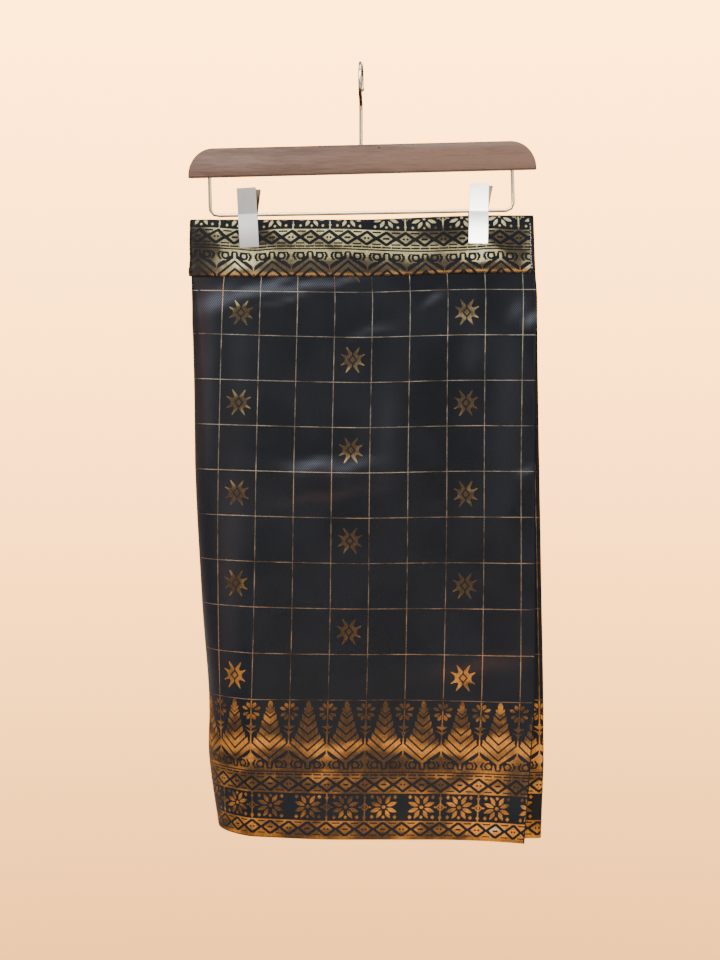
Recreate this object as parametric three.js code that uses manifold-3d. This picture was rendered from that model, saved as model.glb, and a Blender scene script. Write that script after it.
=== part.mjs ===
// A sampin, the short songket wrap worn over Malay trousers. It is folded to the width of a trouser hanger
// and hangs by its waistband from the hanger's two spring clips.
//
// Millimetres, +Z up. X runs along the hanger's bar and -Y is the front of the cloth. The origin is the saddle
// of the hook, where the hook rests on a rail.
//
// The cloth is one length wound round itself. Seen from above it starts at its front end on the right, runs
// left as the front stretch, rolls round to the back, runs right as the back stretch, folds round once more
// and runs left between the other two as the inner stretch. Two measures place every point of it: "along" is
// the distance from the front end, and "down" is the distance below the top of the waistband.

import * as THREE from "three";
import { mergeVertices } from "three/addons/utils/BufferGeometryUtils.js";
import Module from "manifold-3d";

const wasm = await Module();
wasm.setup();

// ---- Driving dimensions ----

// Cloth.
const CLOTH_THICK = 1.2;
const LENGTH = 672; // from the top of the waistband to the hem
const TOP_Z = -169.3;
const TOP_RISE = 4.6; // the right half of the waist hangs this much higher
const HEM_LIFT = 0.09; // rise of the hem for each millimetre that it stands back from the front
const SEAM_GAP = 0.3; // between two pieces that are sewn, or that run on into each other

// Waistband: a strip folded over the top edge of the cloth, so that the cloth sits between its two plies.
const BAND_HEIGHT = 62.6;
const BAND_THICK = 1.0;
const BAND_OFFSET = CLOTH_THICK / 2 + SEAM_GAP + BAND_THICK / 2; // from the cloth's middle to a ply's middle
const BAND_DOWNS = [41, 20]; // where a ply bends with the cloth, below its folded top

// Plan sections of the wound cloth, one row for each level.
//   down    distance below the top of the waistband
//   edge    X of the front end              front   Y of the flat front
//   flare   angle by which the front end turns forward
//   bow     angle of the long shallow bend  crease  angle at the soft crease before the roll
//   turn    cloth used by the roll's front half, ending at its leftmost line
//   fold    where along the cloth that line is
//   ease    how much wider than its nominal pitch the weave lies
//   back    cloth used by the roll's back half
//   right   X of the right-hand fold        loop    radius of that fold
//   behind  from the front stretch to the inner stretch, at the right and (tuck) at its left end
const SECTIONS = [
  { down: 0, edge: 187.8, front: -3.6, flare: 0, bow: 0, crease: 0, turn: 6.6, fold: 374.5, ease: 1,
    back: 6, right: 185, loop: 1.8, behind: 3.6, tuck: 3.6 },
  { down: 62, edge: 190, front: -3.6, flare: 0, bow: 0, crease: 0, turn: 7, fold: 376.4, ease: 1,
    back: 6, right: 187.5, loop: 1.8, behind: 3.6, tuck: 3.8 },
  { down: 90, edge: 191.8, front: -4.5, flare: 0, bow: 0, crease: 0, turn: 15, fold: 380, ease: 1,
    back: 9, right: 191.2, loop: 2.2, behind: 3.8, tuck: 5 },
  { down: 170, edge: 190.6, front: -6.5, flare: 1, bow: 0, crease: 0, turn: 24, fold: 379.5, ease: 1,
    back: 13, right: 192.3, loop: 2.6, behind: 4, tuck: 8 },
  { down: 273, edge: 189, front: -9, flare: 2, bow: 0, crease: 3, turn: 34, fold: 379, ease: 1.002,
    back: 16, right: 193.9, loop: 3, behind: 4.2, tuck: 12 },
  { down: 417, edge: 188.8, front: -14, flare: 4, bow: 0, crease: 16, turn: 50, fold: 379, ease: 1.008,
    back: 20, right: 196.1, loop: 3.4, behind: 4.4, tuck: 18 },
  { down: 523, edge: 187.2, front: -18, flare: 8, bow: 0, crease: 28, turn: 63, fold: 379, ease: 1.012,
    back: 24, right: 197.6, loop: 3.6, behind: 4.6, tuck: 24 },
  { down: 600, edge: 181.6, front: -19, flare: 16, bow: 4, crease: 30, turn: 62, fold: 380, ease: 1.004,
    back: 26, right: 197.3, loop: 3.8, behind: 4.8, tuck: 27 },
  { down: 672, edge: 174.5, front: -20, flare: 26, bow: 10, crease: 28, turn: 58, fold: 370, ease: 0.992,
    back: 28, right: 194.6, loop: 4, behind: 5, tuck: 30 },
];
const FLARE_REACH = 105; // how far from the front end the cloth is turned forward
const BOW = { from: 195, to: 255 }; // the stretch along the cloth in which the shallow bend builds up
const CREASE = { from: 295, to: 311 };
const ROLL_POWER = 1.5; // above 1, the roll starts gently and tightens towards its leftmost line
const INNER_END = -112; // X where the inner stretch ends, out of sight

// How finely the cloth is faceted.
const LEVELS = [62.6, 75, 90, 110, 135, 170, 205, 240, 280, 320, 360, 400, 440, 480, 520, 560, 600, 636, LENGTH];
const FRONT_STEPS = 26;
const FRONT_CROWDING = 1.7; // above 1, the steps shorten towards the roll
const TURN_STEPS = 5;
const RUN_STEPS = 14;
const INNER_STEPS = 11;

// Hanger.
const WIRE = 3.9; // diameter of the hook's and the clip rail's wire
const HOOK = { radius: 19, bend: 14, foot: -100, tip: -15, yaw: -3, ball: 2.8 };
const BAR = { length: 379, height: 31.2, depth: 14, corner: 26, bevel: 1.5, x: 1.1, z: -103.8, tilt: 1.42 };
const SOCKET = { depth: 12, clearance: 0.4 };
const RAIL = { half: 165, shift: -1.6, left: 57.2, right: 59.4, corner: 8 };
const CLIP = { width: 21, above: 29, below: 36, plate: 1.6, hub: 4.2, grip: 5.8, spread: 8.8 };
const SPRING = { radius: 3.9, length: 15 };
const CLIPS = [
  { side: "left", x: -125.8, lean: 1.7, backLean: -3.3 },
  { side: "right", x: 125.5, lean: -2.4, backLean: -6.4 },
];

// ---- Materials ----

const SONGKET = new THREE.MeshStandardMaterial({ color: 0x27292e, roughness: 0.5, metalness: 0.0 });
const BORDER = new THREE.MeshStandardMaterial({ color: 0x6b5f49, roughness: 0.45, metalness: 0.2 });
const WALNUT = new THREE.MeshStandardMaterial({ color: 0x77594c, roughness: 0.55, metalness: 0.0 });
const PALE_GOLD = new THREE.MeshStandardMaterial({ color: 0xd9c6ae, roughness: 0.22, metalness: 1.0 });
const SATIN_STEEL = new THREE.MeshStandardMaterial({ color: 0xc9c8c4, roughness: 0.35, metalness: 1.0 });

// ---- Small helpers ----

const rad = THREE.MathUtils.degToRad;

// 0 before from, 1 after to, and straight between them.
function ramp(value, from, to) {
  return THREE.MathUtils.clamp((value - from) / (to - from), 0, 1);
}

// A row of SECTIONS at any level: each column runs through the rows as a smooth cubic.
function sectionAt(down) {
  const last = SECTIONS.length - 2;
  const i = Math.min(last, Math.max(0, SECTIONS.findIndex((row) => row.down > down) - 1));
  const k = down >= SECTIONS[last + 1].down ? last : i;
  const [a, b] = [SECTIONS[k], SECTIONS[k + 1]];
  const span = b.down - a.down;
  const t = (down - a.down) / span;
  const slope = (row, column) => {
    const before = SECTIONS[Math.max(0, row - 1)];
    const after = SECTIONS[Math.min(last + 1, row + 1)];
    return (after[column] - before[column]) / (after.down - before.down);
  };
  const section = {};
  for (const column of Object.keys(a)) {
    const [h00, h01] = [(1 + 2 * t) * (1 - t) ** 2, t * t * (3 - 2 * t)];
    const [h10, h11] = [t * (1 - t) ** 2, t * t * (t - 1)];
    section[column] = h00 * a[column] + h01 * b[column]
      + span * (h10 * slope(k, column) + h11 * slope(k + 1, column));
  }
  section.down = down;
  return section;
}

// ---- The cloth's plan path ----

// A path station: its place in plan, and the heading in degrees. A heading of 0 is towards -X, 90 towards +Y.
function station(x, y, heading) {
  return { x, y, heading };
}

function frontHeading(along, s) {
  const flare = s.flare * (1 - ramp(along, 0, FLARE_REACH));
  const lean = s.bow * ramp(along, BOW.from, BOW.to) + s.crease * ramp(along, CREASE.from, CREASE.to);
  const roll = (90 - s.bow - s.crease) * ramp(along, s.fold - s.turn, s.fold) ** ROLL_POWER;
  return flare + lean + roll;
}

// The front stretch, from its end on the right to the roll's leftmost line.
function frontPath(s) {
  const fine = 8;
  const flareDepth = FLARE_REACH * Math.sin(rad(s.flare / 2));
  let [x, y, along] = [s.edge, s.front - flareDepth, 0];
  const path = [station(x, y, frontHeading(0, s))];
  for (let i = 1; i <= FRONT_STEPS; i++) {
    const target = s.fold * (1 - (1 - i / FRONT_STEPS) ** FRONT_CROWDING);
    const step = (target - along) / fine;
    for (let k = 0; k < fine; k++) {
      const heading = rad(frontHeading(along + step / 2, s));
      x -= step * s.ease * Math.cos(heading);
      y += step * s.ease * Math.sin(heading);
      along += step;
    }
    path.push(station(x, y, frontHeading(along, s)));
  }
  return path;
}

// Part of a circle, turning from one heading to another.
function arc(start, radius, to, steps) {
  const from = start.heading;
  const centre = { x: start.x + radius * Math.sin(rad(from)), y: start.y + radius * Math.cos(rad(from)) };
  return Array.from({ length: steps }, (_, i) => {
    const heading = from + ((to - from) * (i + 1)) / steps;
    const x = centre.x - radius * Math.sin(rad(heading));
    const y = centre.y - radius * Math.cos(rad(heading));
    return station(x, y, heading);
  });
}

// A gentle S from one place to another, level at both ends. Base is the heading that it starts and ends with.
function run(start, x, y, base, steps) {
  return Array.from({ length: steps }, (_, i) => {
    const t = (i + 1) / steps;
    const across = start.x + (x - start.x) * t;
    const slope = ((y - start.y) * 6 * t * (1 - t)) / Math.abs(x - start.x);
    const turn = THREE.MathUtils.radToDeg(Math.atan(slope));
    return station(across, start.y + (y - start.y) * t * t * (3 - 2 * t), base === 180 ? 180 - turn : 360 + turn);
  });
}

// The back and inner stretches, which meet at the outermost line of the right-hand fold.
function windings(s) {
  const leftmost = frontPath(s).at(-1);
  const back = [leftmost, ...arc(leftmost, s.back / (Math.PI / 2), 180, TURN_STEPS)];
  const backY = s.front + s.behind + 2 * s.loop;
  back.push(...run(back.at(-1), s.right - s.loop, backY, 180, RUN_STEPS));
  back.push(...arc({ ...back.at(-1), heading: 180 }, s.loop, 270, TURN_STEPS));
  const inner = [back.at(-1), ...arc(back.at(-1), s.loop, 360, TURN_STEPS)];
  inner.push(...run(inner.at(-1), INNER_END, s.front + s.tuck, 360, INNER_STEPS));
  return { back, inner };
}

const backPath = (s) => windings(s).back;
const innerPath = (s) => windings(s).inner;

// Draws a path's two ends in by half a seam gap, where it meets the next stretch.
function shortened(path, atStart, atEnd) {
  const nudge = (p, sign) => {
    const heading = rad(p.heading);
    const shift = (sign * SEAM_GAP) / 2;
    return { ...p, x: p.x - shift * Math.cos(heading), y: p.y + shift * Math.sin(heading) };
  };
  const kept = [...path];
  if (atStart) kept[0] = nudge(kept[0], 1);
  if (atEnd) kept[kept.length - 1] = nudge(kept.at(-1), -1);
  return kept;
}

// ---- Cloth in space ----

// The height of a point of the cloth: the waist and the hem each have their own line, and levels lie between.
function heightAt(p, s) {
  const top = TOP_Z + TOP_RISE * THREE.MathUtils.smoothstep(p.x, -10, 140);
  const share = s.down / LENGTH;
  const lift = HEM_LIFT * Math.max(0, p.y - s.front) * share ** 2;
  return THREE.MathUtils.lerp(top, TOP_Z - LENGTH, share) + lift;
}

// Outward is away from the cloth's reverse: forward on the front and inner stretches, backward on the back one.
function outward(p) {
  return new THREE.Vector3(-Math.sin(rad(p.heading)), -Math.cos(rad(p.heading)), 0);
}

function placed(p, s) {
  return new THREE.Vector3(p.x, p.y, heightAt(p, s));
}

// A closed wall around a grid of middle points: grid[i][j] holds a point and its unit normal.
function wallGeometry(grid, thickness) {
  const [columns, rows] = [grid.length, grid[0].length];
  const positions = [];
  for (const side of [1, -1]) {
    for (const { point, normal } of grid.flat()) {
      positions.push(...point.clone().addScaledVector(normal, (side * thickness) / 2).toArray());
    }
  }
  const outer = (i, j) => i * rows + j;
  const inner = (i, j) => columns * rows + outer(i, j);
  const index = [];
  const quad = (a, b, c, d) => index.push(a, b, c, a, c, d);
  for (let i = 0; i + 1 < columns; i++) {
    for (let j = 0; j + 1 < rows; j++) {
      quad(outer(i, j), outer(i + 1, j), outer(i + 1, j + 1), outer(i, j + 1));
      quad(inner(i, j), inner(i, j + 1), inner(i + 1, j + 1), inner(i + 1, j));
    }
  }
  const rim = [];
  for (let i = 0; i + 1 < columns; i++) rim.push([i, 0]);
  for (let j = 0; j + 1 < rows; j++) rim.push([columns - 1, j]);
  for (let i = columns - 1; i > 0; i--) rim.push([i, rows - 1]);
  for (let j = rows - 1; j > 0; j--) rim.push([0, j]);
  rim.forEach((a, k) => {
    const b = rim[(k + 1) % rim.length];
    quad(outer(...b), outer(...a), inner(...a), inner(...b));
  });
  const geometry = new THREE.BufferGeometry();
  geometry.setAttribute("position", new THREE.Float32BufferAttribute(positions, 3));
  geometry.setIndex(index);
  return geometry;
}

// One stretch of the body cloth, from inside the waistband down to the hem.
function bodyGeometry(pathOf, ends) {
  const bandInside = BAND_OFFSET + BAND_THICK; // the cloth's top edge, clear of the band's folded top
  const downs = [bandInside, ...BAND_DOWNS.toReversed(), ...LEVELS];
  const levels = downs.map((down) => {
    const s = sectionAt(down);
    return shortened(pathOf(s), ...ends).map((p) => ({ point: placed(p, s), normal: outward(p) }));
  });
  const grid = levels[0].map((_, i) => levels.map((level) => level[i]));
  return wallGeometry(grid, CLOTH_THICK);
}

// One stretch of waistband. Its profile goes up the reverse side, over the top edge and down the face.
function bandGeometry(pathOf, ends, first, last) {
  const arcSteps = 4;
  const crown = BAND_THICK / 2 + BAND_OFFSET; // where the profile's half circle has its centre
  const plies = [BAND_HEIGHT, ...BAND_DOWNS, crown];
  const profile = plies.slice(0, -1).map((down) => ({ down, angle: -90 }));
  for (let k = 0; k <= arcSteps; k++) profile.push({ down: crown, angle: -90 + (180 * k) / arcSteps });
  profile.push(...plies.slice(0, -1).toReversed().map((down) => ({ down, angle: 90 })));
  const rings = profile.map(({ down, angle }) => {
    const s = sectionAt(down);
    const lift = BAND_OFFSET * Math.cos(rad(angle));
    return shortened(pathOf(s).slice(first, last), ...ends).map((p) => {
      const side = Math.sin(rad(angle));
      const normal = outward(p).multiplyScalar(side).add(new THREE.Vector3(0, 0, Math.cos(rad(angle))));
      const point = placed(p, s).addScaledVector(outward(p), BAND_OFFSET * side);
      point.z += lift;
      return { point, normal };
    });
  });
  const grid = rings[0].map((_, i) => rings.map((ring) => ring[i]));
  return wallGeometry(grid, BAND_THICK);
}

// ---- Solids: joins and cuts ----

function solidOf(geometry) {
  const bare = geometry.clone();
  for (const name of ["normal", "uv"]) bare.deleteAttribute(name);
  const merged = mergeVertices(bare, 1e-3);
  return new wasm.Manifold(new wasm.Mesh({
    numProp: 3,
    vertProperties: merged.attributes.position.array,
    triVerts: new Uint32Array(merged.index.array),
  }));
}

function geometryOf(solid) {
  const mesh = solid.getMesh();
  const geometry = new THREE.BufferGeometry();
  geometry.setAttribute("position", new THREE.Float32BufferAttribute(mesh.vertProperties, 3));
  geometry.setIndex([...mesh.triVerts]);
  return geometry;
}

// ---- Hanger ----

// Part of a circle in the plane of two axes, between two angles in degrees.
class PlaneArc extends THREE.Curve {
  constructor(centre, radius, from, to, axisA, axisB) {
    super();
    Object.assign(this, { centre, radius, from, to, axisA, axisB });
  }

  getPoint(t, target = new THREE.Vector3()) {
    const angle = rad(this.from + (this.to - this.from) * t);
    return target.copy(this.centre)
      .addScaledVector(this.axisA, this.radius * Math.cos(angle))
      .addScaledVector(this.axisB, this.radius * Math.sin(angle));
  }
}

const X_AXIS = new THREE.Vector3(1, 0, 0);
const Y_AXIS = new THREE.Vector3(0, 1, 0);
const Z_AXIS = new THREE.Vector3(0, 0, 1);

function wireGeometry(curves, steps, sides) {
  const path = new THREE.CurvePath();
  curves.forEach((curve) => path.add(curve));
  const section = new THREE.Shape(new THREE.EllipseCurve(0, 0, WIRE / 2, WIRE / 2).getPoints(sides).slice(1));
  return new THREE.ExtrudeGeometry(section, { steps, extrudePath: path });
}

// The hook stands up from the bar, bends forward onto its circle, and goes over the rail and down behind it.
function hookGeometry() {
  const ring = HOOK.radius + WIRE / 2;
  const ringCentre = new THREE.Vector3(0, 0, -HOOK.radius);
  const rise = Math.sqrt(ring ** 2 + 2 * HOOK.bend * ring);
  const bendCentre = new THREE.Vector3(0, -HOOK.bend, ringCentre.z - rise);
  const meet = THREE.MathUtils.radToDeg(Math.atan2(rise, HOOK.bend));
  const stem = new THREE.LineCurve3(new THREE.Vector3(0, 0, HOOK.foot), new THREE.Vector3(0, 0, bendCentre.z));
  const bend = new PlaneArc(bendCentre, HOOK.bend, 0, meet, Y_AXIS, Z_AXIS);
  const over = new PlaneArc(ringCentre, ring, meet + 180, HOOK.tip, Y_AXIS, Z_AXIS);
  const wire = wireGeometry([stem, bend, over], 44, 12);
  const ball = new THREE.SphereGeometry(HOOK.ball, 14, 9).translate(...over.getPoint(1).toArray());
  return geometryOf(solidOf(wire).add(solidOf(ball)));
}

// A wooden bar with a flat underside and rounded shoulders, drilled for the hook and for the rail's two legs.
function barGeometry() {
  const { length, height, depth, corner, bevel } = BAR;
  const [half, rise] = [length / 2 - bevel, height - 2 * bevel];
  const outline = new THREE.Shape();
  outline.moveTo(-half, 0);
  outline.lineTo(half, 0);
  outline.absellipse(half - corner, 0, corner, rise, 0, Math.PI / 2, false);
  outline.lineTo(-half + corner, rise);
  outline.absellipse(-half + corner, 0, corner, rise, Math.PI / 2, Math.PI, false);
  const body = new THREE.ExtrudeGeometry(outline, {
    depth: depth - 2 * bevel,
    bevelThickness: bevel,
    bevelSize: bevel,
    bevelSegments: 2,
    curveSegments: 10,
  });
  body.translate(0, -rise / 2, -(depth - 2 * bevel) / 2);
  body.rotateX(Math.PI / 2);
  const hole = (x, z, long) => {
    const bore = new THREE.CylinderGeometry(WIRE / 2 + SOCKET.clearance, WIRE / 2 + SOCKET.clearance, long, 16);
    return solidOf(bore.rotateX(Math.PI / 2).translate(x, 0, z));
  };
  const reach = 2 * (SOCKET.depth + 1);
  return geometryOf(
    solidOf(body)
      .subtract(hole(-BAR.x, height / 2, reach))
      .subtract(hole(RAIL.shift - RAIL.half, -height / 2, reach))
      .subtract(hole(RAIL.shift + RAIL.half, -height / 2, reach)),
  );
}

// The wire rail that carries the clips: a wide U whose legs stand in the bar.
function railGeometry() {
  const { half, shift, left, right, corner } = RAIL;
  const top = -BAR.height / 2 + SOCKET.depth;
  const at = (x, z) => new THREE.Vector3(shift + x, 0, z);
  const arcAt = (x, z, from) => new PlaneArc(at(x, z), corner, from, from + 90, X_AXIS, Z_AXIS);
  return wireGeometry([
    new THREE.LineCurve3(at(-half, top), at(-half, corner - left)),
    arcAt(corner - half, corner - left, 180),
    new THREE.LineCurve3(at(corner - half, -left), at(half - corner, -right)),
    arcAt(half - corner, corner - right, 270),
    new THREE.LineCurve3(at(half, corner - right), at(half, top)),
  ], 72, 12);
}

// One plate of a clip: its lower part grips the cloth, it bears on the spring at the rail, and its upper part
// leans away from the other plate. Side is -1 for the front plate and 1 for the back one.
function plateGeometry(side) {
  const { above, below, plate, hub, grip, spread, width } = CLIP;
  const inside = [[-below, grip], [-4.3, grip], [-1.2, hub], [2, hub], [above, spread]];
  const face = [...inside, ...inside.toReversed().map(([z, y]) => [z, y + plate])];
  const outline = new THREE.Shape(face.map(([z, y]) => new THREE.Vector2(side * y, z)));
  const geometry = new THREE.ExtrudeGeometry(outline, { depth: width, bevelEnabled: false });
  geometry.translate(0, 0, -width / 2);
  return geometry.applyMatrix4(new THREE.Matrix4().makeBasis(Y_AXIS, Z_AXIS, X_AXIS));
}

// The coiled spring between the plates, as the sleeve that its coils fill.
function springGeometry() {
  const outline = new THREE.Shape();
  outline.absarc(0, 0, SPRING.radius, 0, 2 * Math.PI, false);
  const bore = new THREE.Path();
  bore.absarc(0, 0, WIRE / 2 + SEAM_GAP, 0, 2 * Math.PI, true);
  outline.holes.push(bore);
  const settings = { depth: SPRING.length, bevelEnabled: false, curveSegments: 18 };
  const geometry = new THREE.ExtrudeGeometry(outline, settings).translate(0, 0, -SPRING.length / 2);
  return geometry.applyMatrix4(new THREE.Matrix4().makeBasis(Y_AXIS, Z_AXIS, X_AXIS));
}

// ---- The object ----

function piece(name, geometry, material, parent) {
  const mesh = new THREE.Mesh(geometry, material);
  mesh.name = name;
  parent.add(mesh);
  return mesh;
}

function addCloth(parent) {
  const [start, end, both] = [[true, false], [false, true], [true, true]];
  piece("body_front", bodyGeometry(frontPath, end), SONGKET, parent);
  piece("body_back", bodyGeometry(backPath, both), SONGKET, parent);
  piece("body_inner", bodyGeometry(innerPath, start), SONGKET, parent);
  piece("waistband_front", bandGeometry(frontPath, end, 0, FRONT_STEPS + 1), BORDER, parent);
  piece("waistband_back", bandGeometry(backPath, start, 0, TURN_STEPS + RUN_STEPS + 1), BORDER, parent);
}

function addClip({ side, x, lean, backLean }, frame) {
  const share = (x - RAIL.shift + RAIL.half) / (2 * RAIL.half);
  const slope = Math.atan2(RAIL.right - RAIL.left, 2 * RAIL.half);
  const clip = new THREE.Group();
  clip.position.set(x, 0, -THREE.MathUtils.lerp(RAIL.left, RAIL.right, share));
  frame.add(clip);
  piece(`clip_${side}_front_plate`, plateGeometry(-1), SATIN_STEEL, clip).rotation.y = -rad(lean);
  piece(`clip_${side}_back_plate`, plateGeometry(1), SATIN_STEEL, clip).rotation.y = -rad(backLean);
  piece(`clip_${side}_spring`, springGeometry(), SATIN_STEEL, clip).rotation.y = slope;
}

function addHanger(parent) {
  piece("hanger_hook", hookGeometry(), PALE_GOLD, parent).rotation.z = rad(HOOK.yaw);
  const frame = new THREE.Group();
  frame.position.set(BAR.x, 0, BAR.z);
  frame.rotation.y = -rad(BAR.tilt);
  parent.add(frame);
  piece("hanger_bar", barGeometry(), WALNUT, frame);
  piece("clip_rail", railGeometry(), PALE_GOLD, frame);
  CLIPS.forEach((clip) => addClip(clip, frame));
}

const sampin = new THREE.Group();
addCloth(sampin);
addHanger(sampin);

export default sampin;
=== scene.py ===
"""A sampin folded over a clip hanger: the cloth with its gold weft, its waistband, the hanger and the studio.

Lengths are worked out in millimetres and made metres when a mesh is filled. X runs along the hanger's bar, -Y is
the front and +Z is up. A place on the cloth has two measures: "along" is the distance from its front end, going
left, round the roll, right along the back, round the fold and left again, and "down" is the distance below the
top of the waistband. "Up" is the distance above the hem.
"""

import math

import bmesh
import bpy
import numpy as np
from bpy.props import FloatProperty, FloatVectorProperty, IntProperty, PointerProperty
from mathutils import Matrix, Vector


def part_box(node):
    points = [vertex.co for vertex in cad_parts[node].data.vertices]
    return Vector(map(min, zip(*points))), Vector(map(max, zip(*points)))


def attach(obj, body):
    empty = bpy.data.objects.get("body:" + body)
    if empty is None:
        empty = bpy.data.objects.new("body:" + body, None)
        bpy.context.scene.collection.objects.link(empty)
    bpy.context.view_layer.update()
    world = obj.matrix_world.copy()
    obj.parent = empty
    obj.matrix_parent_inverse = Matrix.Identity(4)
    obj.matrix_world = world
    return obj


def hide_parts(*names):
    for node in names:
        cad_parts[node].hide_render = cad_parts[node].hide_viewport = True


bl_info = {
    "name": "Sampin on a clip hanger",
    "version": (1, 0, 0),
    "blender": (4, 5, 0),
    "location": "3D Viewport > Sidebar > Sampin",
    "description": "Builds a folded sampin, its gold weft, its waistband and its hanger",
    "category": "Add Mesh",
}

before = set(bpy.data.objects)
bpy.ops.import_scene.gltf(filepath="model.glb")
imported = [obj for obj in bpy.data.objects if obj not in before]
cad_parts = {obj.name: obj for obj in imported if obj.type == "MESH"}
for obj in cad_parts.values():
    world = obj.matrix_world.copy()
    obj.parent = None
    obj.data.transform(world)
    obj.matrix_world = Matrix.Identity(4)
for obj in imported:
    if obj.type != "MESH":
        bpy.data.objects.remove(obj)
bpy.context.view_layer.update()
MM = 0.001

# ---- The cloth's sizes, as in the part's source ----

LENGTH = 672.0  # down, at the hem
TOP_Z = -169.3  # height of the top edge at the left
TOP_RISE = 4.6  # how much higher it is at the right
HEM_LIFT = 0.09  # rise of the hem for each millimetre behind the front stretch
SECTION_COLUMNS = (
    "down", "edge", "front", "flare", "bow", "crease", "turn", "fold",
    "ease", "back", "right", "loop", "behind", "tuck",
)  # fmt: skip
SECTIONS = np.array([
    (0, 187.8, -3.6, 0, 0, 0, 6.6, 374.5, 1, 6, 185, 1.8, 3.6, 3.6),
    (62, 190, -3.6, 0, 0, 0, 7, 376.4, 1, 6, 187.5, 1.8, 3.6, 3.8),
    (90, 191.8, -4.5, 0, 0, 0, 15, 380, 1, 9, 191.2, 2.2, 3.8, 5),
    (170, 190.6, -6.5, 1, 0, 0, 24, 379.5, 1, 13, 192.3, 2.6, 4, 8),
    (273, 189, -9, 2, 0, 3, 34, 379, 1.002, 16, 193.9, 3, 4.2, 12),
    (417, 188.8, -14, 4, 0, 16, 50, 379, 1.008, 20, 196.1, 3.4, 4.4, 18),
    (523, 187.2, -18, 8, 0, 28, 63, 379, 1.012, 24, 197.6, 3.6, 4.6, 24),
    (600, 181.6, -19, 16, 4, 30, 62, 380, 1.004, 26, 197.3, 3.8, 4.8, 27),
    (672, 174.5, -20, 26, 10, 28, 58, 370, 0.992, 28, 194.6, 4, 5, 30),
])  # fmt: skip
FLARE_REACH = 105.0  # along, where the flare of the front end dies out
BOW = (195.0, 255.0)  # along, where the front leans back
CREASE = (295.0, 311.0)  # along, where it turns into the roll
ROLL_POWER = 1.5
INNER_END = -112.0  # X at the end of the inner stretch
WAIST_ROLL = (366.0, 386.0)  # along, at the start and the end of the left-hand roll at the waist
RIGHT_FOLD = 749.1  # along, at the outermost line of the right-hand fold
CLOTH_END = 1055.0  # along, at the end of the inner stretch
BODY_TOP = 2.4  # down, at the cloth's top edge inside the waistband
COVERED = 60.0  # down, to which the waistband hides the cloth
HEM_TURN = 8.5  # height of the hem's turned-up edge
HEM_THICKNESS = 0.0007  # of that edge, in metres
TABLE_DOWNS = np.linspace(0, LENGTH, 169)  # levels of the table of the cloth's path
STATIONS = 400  # steps of that table in each of the three stretches
MAP_SIZE = 1100.0  # the piece's own map is 1 for this length

# ---- The waistband's sizes ----

BAND_REACH = RIGHT_FOLD - 3.6  # along, at the band's end on the back
BAND_PLY = 1.45  # from the body cloth's middle to a ply's middle
BAND_CROWN = 2.0  # down, at the centre of the folded top
BAND_FOOT = 60.6  # down, where the lower fold starts to turn
BAND_TUCK = 0.75  # outward, at the ply that is turned under
BAND_REVERSE = 58.0  # height of the reverse ply
BAND_UNDER = (5.5, 13.0)  # travel past the foot, at the end of the lower fold and at the turned-under edge
BAND_ENDS = (5.2, BAND_REACH - 0.5)  # along, between which the band has its gold
CLIP_PLACES = (65.2, 316.4)  # along, at the middle of each clip

# ---- The weave's sizes ----

CELL = 41.0  # between two upright lines of the check
ROW = 49.1  # between two level lines of the check
REPEAT = 3 * CELL  # the border's repeat
FIRST_LINE = 15.5  # along, at the first upright line
FIRST_LEVEL = 150.5  # up, at the lowest level line, which is the top of the border
LINE_TOP = LENGTH - 48.0  # up, where the upright lines end under the waistband
LINE_THREAD = 0.37  # width of each of the two threads of a check line
THREADS = 60  # gold threads side by side in one cell
FLOAT_HALF = CELL / THREADS * 0.47  # half the width of a gold float
FLOAT_GAP = 0.04  # by which a float is short of its place in the chart, at each end
SHOOT_SLOPE = 0.89
SHOOT_FOOT, SHOOT_STEP = 87.1, 8.8
SHOOT_HALF_WIDTHS = (17.7, 13.8, 11.1, 9.2, 7.2, 5.3)
BAND_LINE = 16.9  # along, at the band's first upright line
BAND_MATCH = (10.6, 50.1, 1.07)  # travel and up at the same gold line, and the border's height for each of travel
BAND_MAP_FOOT = 70.0  # added to the travel on the band's own map

# Gold by level on the piece's map, in millimetres: the level, and how far the colour has gone from the hem's to the
# half-way colour (1) and on to the waist's (2). The change from copper below to pale gold above is painted light: warm
# light from below, white light from above. The copper at the band's lower fold, at the end of BAND_GOLD, is painted
# warm light too.
BODY_GOLD = ((0, 0.0), (60, 0.25), (118, 0.2), (175, 0.3), (300, 1.0), (440, 1.25), (600, 1.7))
LINE_GOLD = ((0, 0.0), (180, 0.0), (300, 0.45), (430, 1.1), (600, 2.0))
BAND_GOLD = ((40, 1.9), (100, 2.0), (123, 1.85), (127.5, 1.3), (129.5, 0.7), (131.5, 0.4))

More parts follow.
